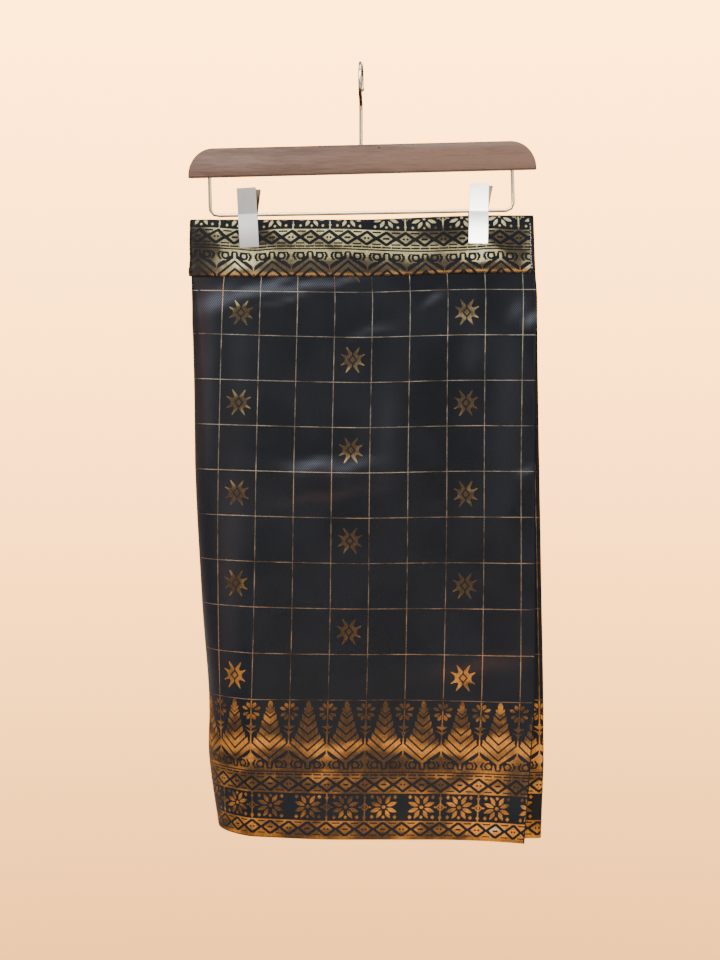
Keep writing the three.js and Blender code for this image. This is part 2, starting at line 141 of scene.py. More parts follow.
# Soft patches where the gold catches more light than elsewhere (gain above 0) or less.
GLOW_COLUMNS = ("along", "up", "wide", "tall", "gain")
GLOW = np.array([
    (205, 128, 88, 26, -0.75),
    (200, 78, 70, 9, -0.35),
    (262, 84, 34, 14, -0.55),
    (150, 80, 30, 12, -0.55),
    (92, 84, 16, 11, -0.45),
    (48, 110, 44, 40, -0.20),
    (345, 100, 34, 60, -0.28),
    (190, 5, 220, 6, -0.20),
    (40, 13, 30, 7, 0.98),
    (245, 30, 60, 14, -0.20),
    (262, 58, 60, 10, -0.25),
    (160, 58, 26, 10, -0.20),
    (95, 60, 26, 10, -0.30),
    (40, 75, 30, 24, 0.20),
    (190, 46, 24, 8, -0.35),
    (18, 58, 12, 18, -0.55),
    (14, 130, 13, 40, -0.35),
    (300, 104, 14, 7, 0.20),
    (86, 175, 22, 16, 0.75),
    (320, 175, 22, 16, 0.75),
    (343.5, 584, 4, 15, 0.60),
    (15.5, 570, 4, 15, 0.55),
    (179.5, 570, 4, 10, 0.45),
    (261.5, 568, 4, 9, 0.95),
    (15.5, 184, 4, 20, 0.95),
    (56.5, 192, 4, 28, 1.05),
    (97.5, 194, 4, 24, 1.00),
    (343.5, 200, 4, 46, 1.00),
    (97.5, 382, 4, 12, 0.70),
    (179.5, 370, 4, 18, 1.00),
    (220.5, 376, 4, 18, 1.00),
    (261.5, 370, 4, 14, 1.05),
    (15.5, 306, 4, 14, 0.60),
    (222, 400, 74, 20, 0.55),
    (205, 320, 90, 26, -0.25),
    (90, 300, 40, 50, -0.15),
    (340, 596, 44, 8, 0.80),
    (300, 606, 60, 18, 0.55),
    (200, 600, 60, 8, -0.40),
    (352, 575, 10, 16, 0.70),
    (6, 560, 10, 26, 0.65),
    (60, 536, 60, 8, 0.30),
])  # fmt: skip
BAND_GLOW = np.array([
    (374, 38, 21, 60, -1.60),
    (366, 2, 15, 6, 1.70),
    (300, 17, 15, 9, -1.05),
    (312, 40, 26, 9, 0.65),
    (322, 46, 9, 7, 0.70),
    (345, 12, 14, 6, 0.55),
    (160, 6, 170, 8, 0.70),
    (195, 20, 60, 8, 0.20),
    (190, 36, 95, 5, 0.45),
    (100, 20, 22, 9, -0.80),
    (132, 16, 16, 8, -0.35),
    (58, 42, 15, 8, 1.30),
    (24, 26, 20, 16, -0.85),
    (34, 5, 18, 6, 0.70),
    (165, 53, 125, 8, -0.60),
    (60, 56, 40, 5, -0.55),
    (8, 56, 6, 8, 0.60),
])  # fmt: skip

# Soft folds and storage creases: a ridge where depth is above 0, a trough below it. Length and width are in
# millimetres, and lean is the angle of the fold from upright, in degrees.
FOLD_COLUMNS = ("along", "down", "length", "width", "depth", "lean")
FOLDS = np.array([
    (222, 273, 170, 9, 1.3, 88),
    (330, 268, 90, 8, 0.6, 94),
    (64, 472, 150, 13, 1.5, 86),
    (20, 330, 120, 12, 0.8, 84),
    (262, 86, 150, 11, 1.5, 78),
    (345, 98, 90, 10, 1.4, 66),
    (300, 118, 120, 16, -0.8, 72),
    (118, 92, 46, 6, 0.7, 58),
    (16, 110, 60, 9, 0.9, 60),
    (152, 122, 90, 10, 0.5, 84),
    (150, 190, 300, 38, 1.4, 8),
    (216, 200, 260, 30, -1.0, -6),
    (88, 330, 330, 44, -1.1, 4),
    (238, 400, 300, 40, 0.9, -5),
    (180, 584, 420, 17, 1.2, 90),
    (120, 618, 330, 20, -0.9, 89),
    (60, 560, 120, 26, 0.8, 12),
    (250, 636, 150, 22, 0.8, 80),
    (420, 90, 80, 10, 0.9, 60),
    (520, 96, 150, 12, 1.1, 82),
    (655, 104, 110, 9, 0.9, 100),
    (560, 268, 240, 12, 1.2, 91),
    (690, 275, 100, 11, 0.7, 85),
    (600, 410, 320, 40, 1.3, 5),
    (500, 360, 300, 36, -1.1, -4),
    (680, 470, 260, 30, -1.0, 7),
    (470, 540, 200, 26, 1.0, -9),
    (600, 590, 260, 18, 1.1, 88),
    (540, 630, 220, 22, -0.8, 92),
    (900, 273, 260, 12, 0.9, 90),
    (850, 590, 240, 20, 0.8, 89),
    (960, 480, 280, 34, -0.9, 3),
])  # fmt: skip

# Where the ground catches light, as painted sheen: pale streaks on its folds (warm 0) and reddish painted reflections
# of warm light (warm 1). Length, width and lean are as in FOLDS.
SHEEN_COLUMNS = ("along", "down", "length", "width", "gain", "lean", "warm")
SHEEN = np.array([
    (302, 75, 84, 4.6, 1.00, 71, 0),
    (246, 71, 120, 3.2, 0.95, 82, 0),
    (270, 86, 60, 2.6, 0.35, 74, 0),
    (350, 86, 36, 9.0, 0.80, 58, 0),
    (113, 90, 24, 4.0, 0.50, 62, 0),
    (7, 111, 18, 5.5, 1.00, 55, 0),
    (22, 103, 24, 8.0, 0.35, 35, 0),
    (178, 121, 44, 4.0, 0.28, 78, 0),
    (243, 267, 42, 5.5, 0.90, 85, 0),
    (203, 268, 50, 5.0, 0.50, 80, 0),
    (11, 275, 18, 3.6, 0.55, 70, 0),
    (227, 301, 96, 5.0, 0.35, 82, 1),
    (58, 486, 96, 9.0, 0.45, 80, 1),
    (356, 167, 190, 7.0, 0.16, 0, 0),
    (367, 190, 300, 9.0, 0.45, 1, 1),
    (330, 398, 250, 14.0, 0.13, 1, 0),
    (334, 400, 260, 15.0, 0.20, 1, 1),
    (364, 500, 280, 13.0, 0.40, -4, 1),
    (161, 224, 110, 11.0, 0.10, 2, 0),
    (71, 148, 52, 12.0, 0.10, 4, 0),
    (32, 205, 190, 15.0, 0.09, 2, 0),
    (323, 150, 150, 13.0, 0.07, 0, 0),
    (430, 92, 90, 5.0, 0.70, 66, 0),
    (520, 96, 140, 5.0, 0.60, 82, 0),
    (655, 104, 100, 5.0, 0.70, 99, 0),
    (560, 270, 200, 6.0, 0.55, 91, 0),
    (690, 276, 80, 5.0, 0.50, 85, 0),
    (600, 400, 280, 20.0, 0.12, 5, 0),
    (480, 220, 240, 14.0, 0.10, -3, 0),
    (640, 500, 120, 8.0, 0.35, 84, 1),
])  # fmt: skip

# ---- The hanger's and the studio's sizes, in metres and degrees ----

NAIL_PLACE = (0.0196, -0.0916)  # X and Z of the nail on the bar's front
BAR_TILT = 1.42  # by which the bar rises towards +X
BAR_HALF = 0.0156  # half the bar's height
CLIP_TWIST = {"left": 7.0, "right": 11.0}  # by which each clip's grips are turned at their top

# Each light's name, place, target, size, power and colour.
LAMPS = (
    ("Key", (-1.3, -2.2, 1.0), (0, 0, -0.45), (1.5, 1.3), 52, (1.0, 0.99, 0.98)),
    ("Fill", (1.9, -1.8, 0.4), (0, 0, -0.5), (1.3, 1.7), 18, (1.0, 0.98, 0.96)),
    ("Low", (0.3, -1.6, -1.2), (0, 0, -0.6), (1.8, 0.8), 8, (1.0, 0.80, 0.60)),
    ("Top", (0.0, -0.3, 1.9), (0, 0, -0.3), (1.8, 1.2), 30, (0.90, 0.95, 1.0)),
    ("Behind", (0.5, 2.3, 0.8), (0, 0, -0.45), (1.6, 1.6), 50, (1.0, 0.98, 0.96)),
    ("Card right", (0.30, -2.2, -0.02), (0.13, 0, -0.2), (0.9, 1.5), 74, (1.0, 1.0, 0.99)),
    ("Card wires", (0.0, -1.5, 1.35), (0, 0, -0.17), (2.4, 0.9), 75, (1.0, 0.98, 0.94)),
)
# The two white cards light only these pieces.
CARD_PIECES = {
    "Card right": ("right_front_plate", "right_back_plate"),
    "Card wires": ("hook", "rail", "right_spring", "left_spring"),
}


# ---- Settings ----


def length_setting(name, description, default, low, high):
    """A setting that is a length, in metres."""
    return FloatProperty(
        name=name, description=description, default=default, min=low, max=high,
        precision=5, unit="LENGTH", subtype="DISTANCE",
    )  # fmt: skip


def colour_setting(name, description, default):
    """A setting that is a colour, as linear red, green and blue."""
    return FloatVectorProperty(
        name=name, description=description, default=default, size=3, min=0.0, max=1.0, subtype="COLOR"
    )


class SampinClothSettings(bpy.types.PropertyGroup):
    thickness: length_setting("Cloth thickness", "Thickness of one ply of the body cloth", 0.0009, 0.0002, 0.003)
    fold_strength: FloatProperty(
        name="Fold strength",
        description="Scales the depth of the soft folds and storage creases",
        default=1.0,
        min=0.0,
        max=2.0,
        subtype="FACTOR",
    )
    ground: colour_setting("Ground", "Colour of the ground weave", (0.0043, 0.0053, 0.0080))
    ground_light: colour_setting(
        "Ground, raised yarns", "Colour where the twill's yarns stand up", (0.0094, 0.0113, 0.0165)
    )
    seed: IntProperty(
        name="Thread seed", description="Seed of the small differences between threads", default=11, min=0
    )


class SampinGoldSettings(bpy.types.PropertyGroup):
    lift: length_setting("Float height", "How far a gold float stands above the ground weave", 0.00018, 0.0, 0.001)
    # The gold colours change from hem to waist by painted light: warm light from below, white light from above.
    hem: colour_setting("Gold at the hem", "Colour of the gold thread at the hem", (0.64, 0.235, 0.022))
    middle: colour_setting("Gold half way up", "Colour of the gold thread half way up", (0.36, 0.215, 0.085))
    waist: colour_setting("Gold at the waist", "Colour of the gold thread at the waist", (0.56, 0.50, 0.27))
    # The check line's colours change from hem to waist by painted light too.
    line_hem: colour_setting("Check line at the hem", "Colour of the check's thread at the hem", (0.36, 0.205, 0.115))
    line_waist: colour_setting(
        "Check line at the waist", "Colour of the check's thread at the waist", (0.42, 0.41, 0.35)
    )


class SampinBandSettings(bpy.types.PropertyGroup):
    thickness: length_setting("Band thickness", "Thickness of one ply of the waistband", 0.0008, 0.0002, 0.003)
    stitch: colour_setting("Stitches", "Colour of the sewing thread", (0.76, 0.73, 0.60))


class SampinHangerSettings(bpy.types.PropertyGroup):
    edge_radius: length_setting("Edge rounding", "Rounding of the clip plates' cut edges", 0.00022, 0.0, 0.001)
    coil_wire: length_setting("Spring wire", "Diameter of the clip springs' wire", 0.0009, 0.0003, 0.002)
    wood_light: colour_setting("Wood, early grain", "Lighter colour of the wood", (0.235, 0.130, 0.088))
    wood_dark: colour_setting("Wood, late grain", "Darker colour of the wood", (0.120, 0.058, 0.038))


class SampinStageSettings(bpy.types.PropertyGroup):
    backdrop: colour_setting("Backdrop", "Colour of the floor and backdrop", (1.0, 0.46, 0.125))
    floor: length_setting("Floor height", "Height of the floor, below the hook", -1.5, -5.0, 0.0)


# ---- Small helpers ----


def ramp(value, low, high):
    """0 below low, 1 above high, straight between them."""
    return np.clip((value - low) / (high - low), 0.0, 1.0)


def smooth(value, low, high):
    """0 below low, 1 above high, on the curve t*t*(3 - 2t) between them."""
    t = ramp(value, low, high)
    return t * t * (3 - 2 * t)


def spaced(stops, counts):
    """Places from stop to stop: so many in even steps between each two of them, with both ends counted."""
    parts = [np.linspace(low, high, count)[:-1] for low, high, count in zip(stops, stops[1:], counts)]
    return np.append(np.concatenate(parts), stops[-1])


def grid_mesh(name, points, uv=None, closed_across=False, caps=0, **attributes):
    """A mesh from points[i, j], in millimetres: a quad between each four neighbours.

    Its faces look along (d points / dj) x (d points / di). uv[i, j] becomes the map OFBake. A ladder of quads closes
    the first ring (caps 1), or the first and the last (caps 2).
    """
    rows, columns = points.shape[:2]
    i = np.arange(rows - 1)[:, None] * columns
    j = np.arange(columns if closed_across else columns - 1)[None, :]
    after = (j + 1) % columns
    corners = np.broadcast_arrays(i + j, i + after, i + columns + after, i + columns + j)
    quads = np.stack(corners, axis=-1).reshape(-1, 4)
    k = np.arange(columns // 2 - 1)
    ladder = np.stack([k, k + 1, columns - 2 - k, columns - 1 - k], axis=-1)
    quads = np.concatenate([quads, *(ladder[:, ::-1], ladder + (rows - 1) * columns)[:caps]])
    flat_uv = None if uv is None else uv.reshape(-1, 2)
    flat = {key: np.ravel(values) for key, values in attributes.items()}
    return quad_mesh(name, points.reshape(-1, 3), quads, flat_uv, **flat)


def quad_mesh(name, points, quads, uv=None, **attributes):
    """A smooth mesh from arrays of points, in millimetres, and quads. Each attribute is one number a point."""
    mesh = bpy.data.meshes.new(name)
    mesh.vertices.add(len(points))
    mesh.vertices.foreach_set("co", (np.asarray(points) * MM).astype(np.float32).ravel())
    mesh.loops.add(quads.size)
    mesh.loops.foreach_set("vertex_index", quads.astype(np.int32).ravel())
    mesh.polygons.add(len(quads))
    mesh.polygons.foreach_set("loop_start", np.arange(0, quads.size, 4, dtype=np.int32))
    mesh.update(calc_edges=True)
    mesh.validate()
    mesh.polygons.foreach_set("use_smooth", np.ones(len(mesh.polygons), dtype=bool))
    if uv is not None:
        layer = mesh.uv_layers.new(name="OFBake")
        layer.uv.foreach_set("vector", uv[quads.ravel()].astype(np.float32).ravel())
    for key, values in attributes.items():
        layer = mesh.attributes.new(key, "FLOAT", "POINT")
        layer.data.foreach_set("value", values.astype(np.float32))
    mesh.update()
    return mesh


def new_piece(mesh, material, slot, *replaced):
    """An object of the mesh's name that rides on the one body, with its material. The slot is not used."""
    piece = bpy.data.objects.new(mesh.name, mesh)
    bpy.context.scene.collection.objects.link(piece)
    mesh.materials.clear()
    mesh.materials.append(material)
    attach(piece, "root")
    if replaced:
        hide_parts(*replaced)
    return piece


def solidify(piece, thickness):
    """Gives a sheet its thickness, half of it to each side."""
    wall = piece.modifiers.new("Wall", "SOLIDIFY")
    wall.thickness, wall.offset = thickness, 0.0


# ---- The cloth's plan path ----


def sections_at(downs):
    """The columns of SECTIONS at any levels: each runs through the rows as a smooth cubic."""
    rows = SECTIONS
    last = len(rows) - 1
    index = np.arange(last + 1)
    after, before = rows[np.minimum(index + 1, last)], rows[np.maximum(index - 1, 0)]
    slopes = (after - before) / (after[:, :1] - before[:, :1])
    i = np.clip(np.searchsorted(rows[:, 0], downs, side="right") - 1, 0, last - 1)
    a, b = rows[i], rows[i + 1]
    span = b[:, :1] - a[:, :1]
    t = (downs[:, None] - a[:, :1]) / span
    values = (
        (1 + 2 * t) * (1 - t) ** 2 * a
        + t * t * (3 - 2 * t) * b
        + span * (t * (1 - t) ** 2 * slopes[i] + t * t * (t - 1) * slopes[i + 1])
    )
    return dict(zip(SECTION_COLUMNS, values.T[:, :, None]))


def arc_step(x, y, heading, radius, turned):
    """Where a circle leads from a place and heading, after so many degrees. Heading 0 is -X and 90 is +Y."""
    centre_x = x + radius * np.sin(np.radians(heading))
    centre_y = y + radius * np.cos(np.radians(heading))
    after = heading + turned
    return (
        centre_x - radius * np.sin(np.radians(after)),
        centre_y - radius * np.cos(np.radians(after)),
        after,
    )


def run_step(x, y, to_x, to_y, t, base):
    """A gentle S from one place to another: X grows evenly, and Y on the curve t*t*(3 - 2t)."""
    slope = (to_y - y) * 6 * t * (1 - t) / np.abs(to_x - x)
    lean = np.degrees(np.arctan(slope))
    return (
        x + (to_x - x) * t,
        y + (to_y - y) * t * t * (3 - 2 * t),
        base - lean if base == 180 else base + lean,
    )


def front_stretch(s, t):
    """The front: the path whose heading is flare, then lean, then the roll, summed in even steps along it."""
    along = s["fold"] * t

    def heading(at):
        flare = s["flare"] * (1 - ramp(at, 0, FLARE_REACH))
        lean = s["bow"] * ramp(at, *BOW) + s["crease"] * ramp(at, *CREASE)
        roll = (90 - s["bow"] - s["crease"]) * ramp(at, s["fold"] - s["turn"], s["fold"]) ** ROLL_POWER
        return flare + lean + roll

    middle = np.radians(heading((along[:, 1:] + along[:, :-1]) / 2))
    step = np.diff(along, axis=1) * s["ease"]
    start = np.zeros_like(s["edge"])
    x = s["edge"] - np.hstack([start, np.cumsum(step * np.cos(middle), axis=1)])
    y = s["front"] - FLARE_REACH * np.sin(np.radians(s["flare"] / 2))
    y = y + np.hstack([start, np.cumsum(step * np.sin(middle), axis=1)])
    return x, y, heading(along)


def back_stretch(s, t, x, y):
    """The back: a quarter circle, a gentle S to the right and a quarter of the right-hand fold."""
    radius = s["back"] / (math.pi / 2)
    to_x, to_y = s["right"] - s["loop"], s["front"] + s["behind"] + 2 * s["loop"]
    from_x, from_y, _ = arc_step(x, y, 90.0, radius, 90.0)
    ends = np.cumsum([s["back"], to_x - from_x, s["loop"] * math.pi / 2], axis=0)
    at = t * ends[2]
    arc = arc_step(x, y, 90.0, radius, 90 * ramp(at, 0, ends[0]))
    run = run_step(from_x, from_y, to_x, to_y, ramp(at, ends[0], ends[1]), 180)
    loop = arc_step(to_x, to_y, 180.0, s["loop"], 90 * ramp(at, ends[1], ends[2]))
    return [np.where(at < ends[0], a, np.where(at < ends[1], b, c)) for a, b, c in zip(arc, run, loop)]


def inner_stretch(s, t, x, y):
    """The inner stretch: the rest of the right-hand fold, then a gentle S back to the left."""
    from_x, from_y, _ = arc_step(x, y, 270.0, s["loop"], 90.0)
    ends = np.cumsum([s["loop"] * math.pi / 2, from_x - INNER_END], axis=0)
    at = t * ends[1]
    arc = arc_step(x, y, 270.0, s["loop"], 90 * ramp(at, 0, ends[0]))
    run = run_step(from_x, from_y, INNER_END, s["front"] + s["tuck"], ramp(at, ends[0], ends[1]), 360)
    return [np.where(at < ends[0], a, b) for a, b in zip(arc, run)]


def path_table():
    """X, Y and heading at each level of TABLE_DOWNS and each station of the three stretches, end to end."""
    s = sections_at(TABLE_DOWNS)
    t = np.linspace(0, 1, STATIONS + 1)[None, :]
    front = front_stretch(s, t)
    back = back_stretch(s, t, front[0][:, -1:], front[1][:, -1:])
    inner = inner_stretch(s, t, back[0][:, -1:], back[1][:, -1:])
    joined = [np.hstack([f, b[:, 1:], n[:, 1:]]) for f, b, n in zip(front, back, inner)]
    return np.stack(joined), s


PATH, PATH_SECTIONS = path_table()


def turn_share(along, down):
    """Station of a place: 0 to 1 on the front, 1 to 2 on the back and 2 to 3 on the inner stretch."""
    fold = np.interp(down, TABLE_DOWNS, PATH_SECTIONS["fold"][:, 0])
    share = np.where(along < fold, along / fold, 1 + (along - fold) / (RIGHT_FOLD - fold))
    return np.where(along < RIGHT_FOLD, share, 2 + (along - RIGHT_FOLD) / (CLOTH_END - RIGHT_FOLD))


def along_of(share, down):
    """The inverse of turn_share."""
    fold = np.interp(down, TABLE_DOWNS, PATH_SECTIONS["fold"][:, 0])
    back = fold + (share - 1) * (RIGHT_FOLD - fold)
    inner = RIGHT_FOLD + (share - 2) * (CLOTH_END - RIGHT_FOLD)
    return np.where(share < 1, share * fold, np.where(share < 2, back, inner))


def plan_at(along, down):
    """X, Y and heading of a place, read from the table straight between its four nearest entries."""
    column = np.clip(turn_share(along, down) * STATIONS, 0, 3 * STATIONS - 1e-6)
    row = np.clip(down / TABLE_DOWNS[1], 0, len(TABLE_DOWNS) - 1 - 1e-6)
    i, j = row.astype(int), column.astype(int)
    a, b = row - i, column - j
    near, far = (PATH[:, k, j] * (1 - b) + PATH[:, k, j + 1] * b for k in (i, i + 1))
    return near * (1 - a) + far * a


def height_at(x, y, down):
    """Z of a place: the waist and the hem each have their own line, and levels lie between."""
    front = np.interp(down, TABLE_DOWNS, PATH_SECTIONS["front"][:, 0])
    top = TOP_Z + TOP_RISE * smooth(x, -10, 140)
    share = down / LENGTH
    return top + (TOP_Z - LENGTH - top) * share + HEM_LIFT * np.maximum(0, y - front) * share**2


def stand_out(along, down, out):
    """The point that stands this far outward from a place on the path."""
    x, y, heading = plan_at(along, down)
    turned = np.radians(heading)
    return np.stack([x - out * np.sin(turned), y - out * np.cos(turned), height_at(x, y, down)], axis=-1)


def fold_axes(fold, x, y):
    """How far a place at x, y from the centre of a fold or streak lies lengthwise and across."""
    lean = math.radians(fold["lean"])
    return x * math.sin(lean) + y * math.cos(lean), x * math.cos(lean) - y * math.sin(lean)


def swell(along, down):
    """How far the folds move the cloth outward.

    Each fold adds depth * exp(-(across / width)^2) * exp(-(lengthwise / half length)^4), and all of them die out
    under the waistband and at the cloth's front end.
    """
    total = np.zeros(np.broadcast(along, down).shape)
    for row in FOLDS:
        f = dict(zip(FOLD_COLUMNS, row))
        lengthwise, across = fold_axes(f, along - f["along"], down - f["down"])
        total += f["depth"] * np.exp(-((across / f["width"]) ** 2) - (2 * lengthwise / f["length"]) ** 4)
    ripple = 0.22 * np.sin(along / 19.0 + down / 67.0) * np.sin(down / 41.0 - along / 130.0)
    strength = bpy.context.scene.sampin_cloth.fold_strength
    room = smooth(down, 60, 80) * (0.35 + 0.65 * smooth(down, 80, 200))
    tight = 1 - 0.6 * smooth(along, RIGHT_FOLD - 30, RIGHT_FOLD)
    return (total + ripple) * strength * room * smooth(along, -4, 26) * tight


def sheen(along, down, warm):
    """How much light the ground catches, 0 to 1, from the pale streaks of SHEEN (warm 0) or the reddish ones (1)."""
    total = np.zeros(np.broadcast(along, down).shape)
    for row in SHEEN:
        f = dict(zip(SHEEN_COLUMNS, row))
        x = along - f["along"]
        lengthwise, across = fold_axes(f, x, down - f["down"] + 1.6 * np.sin(x / 8.5 + f["down"]))
        streak = f["gain"] * np.exp(-((across / f["width"]) ** 2) - (2 * lengthwise / f["length"]) ** 2)
        total += streak * (f["warm"] == warm)
    return np.clip(total, 0, 1)


def fold_shade(along, down):
    """How far the ground is in the shade of the front end, 0 to 1, where it lies beside it at the right-hand fold."""
    return smooth(along, 737, 745) * (1 - smooth(along, 768, 800)) * smooth(down, 62, 90)


def drawn(along, up):
    """Where a place of the weave lies: the cloth is pulled a few millimetres out of square on its hanger.

    Towards the roll it rises, towards the front end it sinks, and under the waistband it is drawn to the right.
    """
    down = LENGTH - up
    roll = ramp(along, 185, WAIST_ROLL[0]) ** 1.35 * (1 - smooth(along, 392, 520))
    rise = 4.4 * roll * (1 - 0.8 * smooth(down, 395, 560)) * (0.4 + 0.6 * smooth(down, 60, 130))
    fall = (0.9 + 2.0 * smooth(down, 260, 540)) * smooth(170 - along, 0, 160) * (1 - 0.9 * smooth(down, 540, 668))
    fall = fall + 1.7 * smooth(along, 735, 750) * (1 - 0.8 * smooth(down, 600, 668))
    waist = np.exp(-np.maximum(down - 66, 0) / 20)
    around = smooth(along, WAIST_ROLL[1], 480)
    across = waist * (1.2 + 3.2 * smooth(along, 190, 340)) * (1 - around)
    across = across + 2.1 * np.exp(-(((along - 88) / 52) ** 2) - ((down - 300) / 125) ** 2)
    foot = 2.6 * smooth(down, 560, 640) + 3.0 * smooth(down, 520, 605) * smooth(along, 285, 345)
    across = across + foot * smooth(along, -4, 22) * (1 - around) - 1.9 * smooth(along, 735, 752)
    return along - across, down - rise + fall


def on_cloth(along, down, lift):
    """The point at a place on the cloth, lifted outward from the middle of its thickness."""
    along, down, lift = np.broadcast_arrays(along, down, lift)
    return stand_out(along, down, lift + swell(along, down))


def cloth_map(along, down):
    """The piece's own map: along and up, each as a share of the map's size."""
    return np.stack(np.broadcast_arrays(along / MAP_SIZE, (LENGTH - down) / MAP_SIZE), axis=-1)


# ---- The waistband's surface ----


def band_offset(along, down):
    """Outward offset of the band's face: flat at the clips, softly swollen between them and full at its foot."""
    spread = np.ones(np.shape(along))
    for place in CLIP_PLACES:
        spread = spread * (1 - np.exp(-(((along - place) / 22) ** 4)))
    quilt = 0.5 + 0.34 * np.sin(along / 31 + 0.8) + 0.2 * np.sin(along / 12.5 - down / 19)
    body = quilt * np.sin(math.pi * ramp(down, BAND_CROWN, 48)) ** 2 * (0.12 + 0.88 * spread)
    foot = (1.55 + 0.25 * np.sin(along / 47 + 1) + 0.12 * np.sin(along / 9.0)) * smooth(down, 34, 58) ** 1.5
    dent = -0.45 * np.exp(-(((down - 49) / 5) ** 2)) * (0.6 + 0.4 * np.sin(along / 23 + 2))
    return BAND_PLY + body + foot + dent


def on_band(along, travel, lift):
    """The point at a place on the band. Travel is measured over the band's profile, downward from its folded top.

    The profile goes up the reverse ply, over a half circle, down the face with band_offset, round the half circle
    of the lower fold, and up again where the edge is turned under.
    """
    along, travel, lift = np.broadcast_arrays(along, travel, lift)
    low = band_offset(along, np.full(along.shape, BAND_FOOT))
    radius = (low - BAND_TUCK) / 2
    crown = np.clip((BAND_CROWN - travel) / BAND_PLY, 0, math.pi)
    reverse = np.maximum(BAND_CROWN - math.pi * BAND_PLY - travel, 0)
    under = np.clip((travel - BAND_FOOT) / radius, 0, math.pi)
    rest = np.maximum(travel - BAND_FOOT - math.pi * radius, 0)
    down = np.clip(travel, BAND_CROWN, BAND_FOOT)
    face = band_offset(along, down) + lift
    out = np.where(travel < BAND_CROWN, (BAND_PLY + lift) * np.cos(crown), face)
    out = np.where(travel > BAND_FOOT, BAND_TUCK + radius + (radius + lift) * np.cos(under), out)
    down = down - (BAND_PLY + lift) * np.sin(crown) * (travel < BAND_CROWN) + reverse
    down = down + (radius + lift) * np.sin(under) * (travel > BAND_FOOT) - rest
    return stand_out(along, down, out)


def band_map(along, travel):
    """The band's own map: along and travel, each as a share of the map's size."""
    return np.stack(np.broadcast_arrays(along / MAP_SIZE, (travel + BAND_MAP_FOOT) / MAP_SIZE), axis=-1)


def band_up(travel):
    """Where the border's chart is read on the band: the border hangs upside down."""
    place, up, share = BAND_MATCH
    return up + share * (travel - place)


def band_drawn(along, travel):
    """Where a place of the band's weave lies on the front: it sinks towards the front end and leans at the roll."""
    sunk = 5.8 - 5.4 * smooth(along, 105, 215) - 1.8 * smooth(along, 325, 360)
    sunk = sunk - 1.4 * np.exp(-(((along - 46) / 16) ** 2)) + 1.8 * np.exp(-(((along - 302) / 16) ** 2))
    lean = (2.0 * smooth(along, 130, 200) + 3.2 * smooth(along, 200, 320)) * smooth(travel, 4, 24)
    front = 1 - smooth(along, WAIST_ROLL[1], 470)
    return along + (lean - 4.0 * ramp(along, 205, WAIST_ROLL[0])) * front, travel + sunk * front


# ---- Charts of the weave: gold where True, with places in millimetres ----


def leaves(x, y, angle, inner, outer, width, bend=1.0):
    """A leaf that points away from the centre: half width * sin(pi * t^bend), with t from its foot to its tip."""
    turned = math.radians(angle)
    r = x * math.cos(turned) + y * math.sin(turned)
    side = np.abs(y * math.cos(turned) - x * math.sin(turned))
    t = np.clip((r - inner) / (outer - inner), 0, 1)
    return side < width / 2 * np.sin(math.pi * t**bend)


def diamond(x, y, half_x, half_y):
    """Inside a diamond with these half widths."""
    return np.abs(x) / half_x + np.abs(y) / half_y < 1


def lattice_row(line, shoot, y, half_x, half_y, gap, spread, reach):
    """A row of diamonds between the arms of a dark lattice, with a triangle above and below each crossing."""
    crossing = CELL / 4 - np.minimum(line, shoot)
    gold = np.minimum(line, shoot) / half_x + np.abs(y) / half_y < 1
    dash = (shoot < 0.42 * half_x) & (np.abs(y) < 0.95)
    dots = np.hypot(line - 1.8, y) < 1.05
    bar = (crossing < 4.4) & (np.abs(np.abs(y) - reach + 1.5) < 0.6)
    triangle = (crossing < spread * (np.abs(y) - gap)) & ~bar
    return (gold & ~dash & ~dots) | (triangle & (np.abs(y) < reach))


def blossom_row(line, shoot, y, bare):
    """Eight-leaved blossoms on the shoots' axes, and beaded dividers on those upright lines that aren't bare."""
    blossom = np.hypot(shoot, y) < 1.9
    for angle, reach in ((20, 15.2), (-20, 15.2), (59, 14.2), (-59, 14.2)):
        blossom = blossom | leaves(shoot, y, angle, 3.6, reach, 4.3, 0.92)
    for x, height, half in ((0, 10.9, 1.9), (0, -10.9, 1.9), (12.4, 10.7, 2.1), (12.4, -10.7, 2.1)):
        blossom = blossom | diamond(shoot - x, y - height, half, half * 1.15)
    divider = (line < 0.6) | (diamond(line, y, 4.8, 5.0) & ~diamond(line, y, 3.1, 3.3)) | diamond(line, y, 1.6, 1.9)
    divider = divider | diamond(line, y - 10.0, 2.0, 2.6) | diamond(line, y + 11.0, 1.9, 3.0)
    divider = divider | (np.hypot(line - 5.7, y) < 1.0)
    return blossom | (divider & ~bare)


def shoot_row(shoot, up):
    """Bamboo shoots: a zigzag, chevrons that narrow upward with a dark line under each, and a bud."""
    rise = up - SHOOT_SLOPE * shoot
    gold = (up - 0.73 * shoot > 82.2) & (rise < SHOOT_FOOT - 1.2)
    for j, half in enumerate(SHOOT_HALF_WIDTHS):
        foot = SHOOT_FOOT + SHOOT_STEP * j
        inside = (rise > foot + 1.2) & (rise < foot + SHOOT_STEP - 1.2)
        gold = gold | (inside & (shoot + 0.1 * (rise - foot) < half))
    gold = gold & (np.abs(rise - SHOOT_FOOT - 5.5 * SHOOT_STEP) > 0.6)
    stem = (shoot < 1.35) & (up > 76.9) & (up < 84)
    bud = (up > 138.6) & (shoot < 2.8 * (1 - np.clip(np.abs(up - 144) / 6.2, 0, 1) ** 2.4))
    return gold | stem | bud


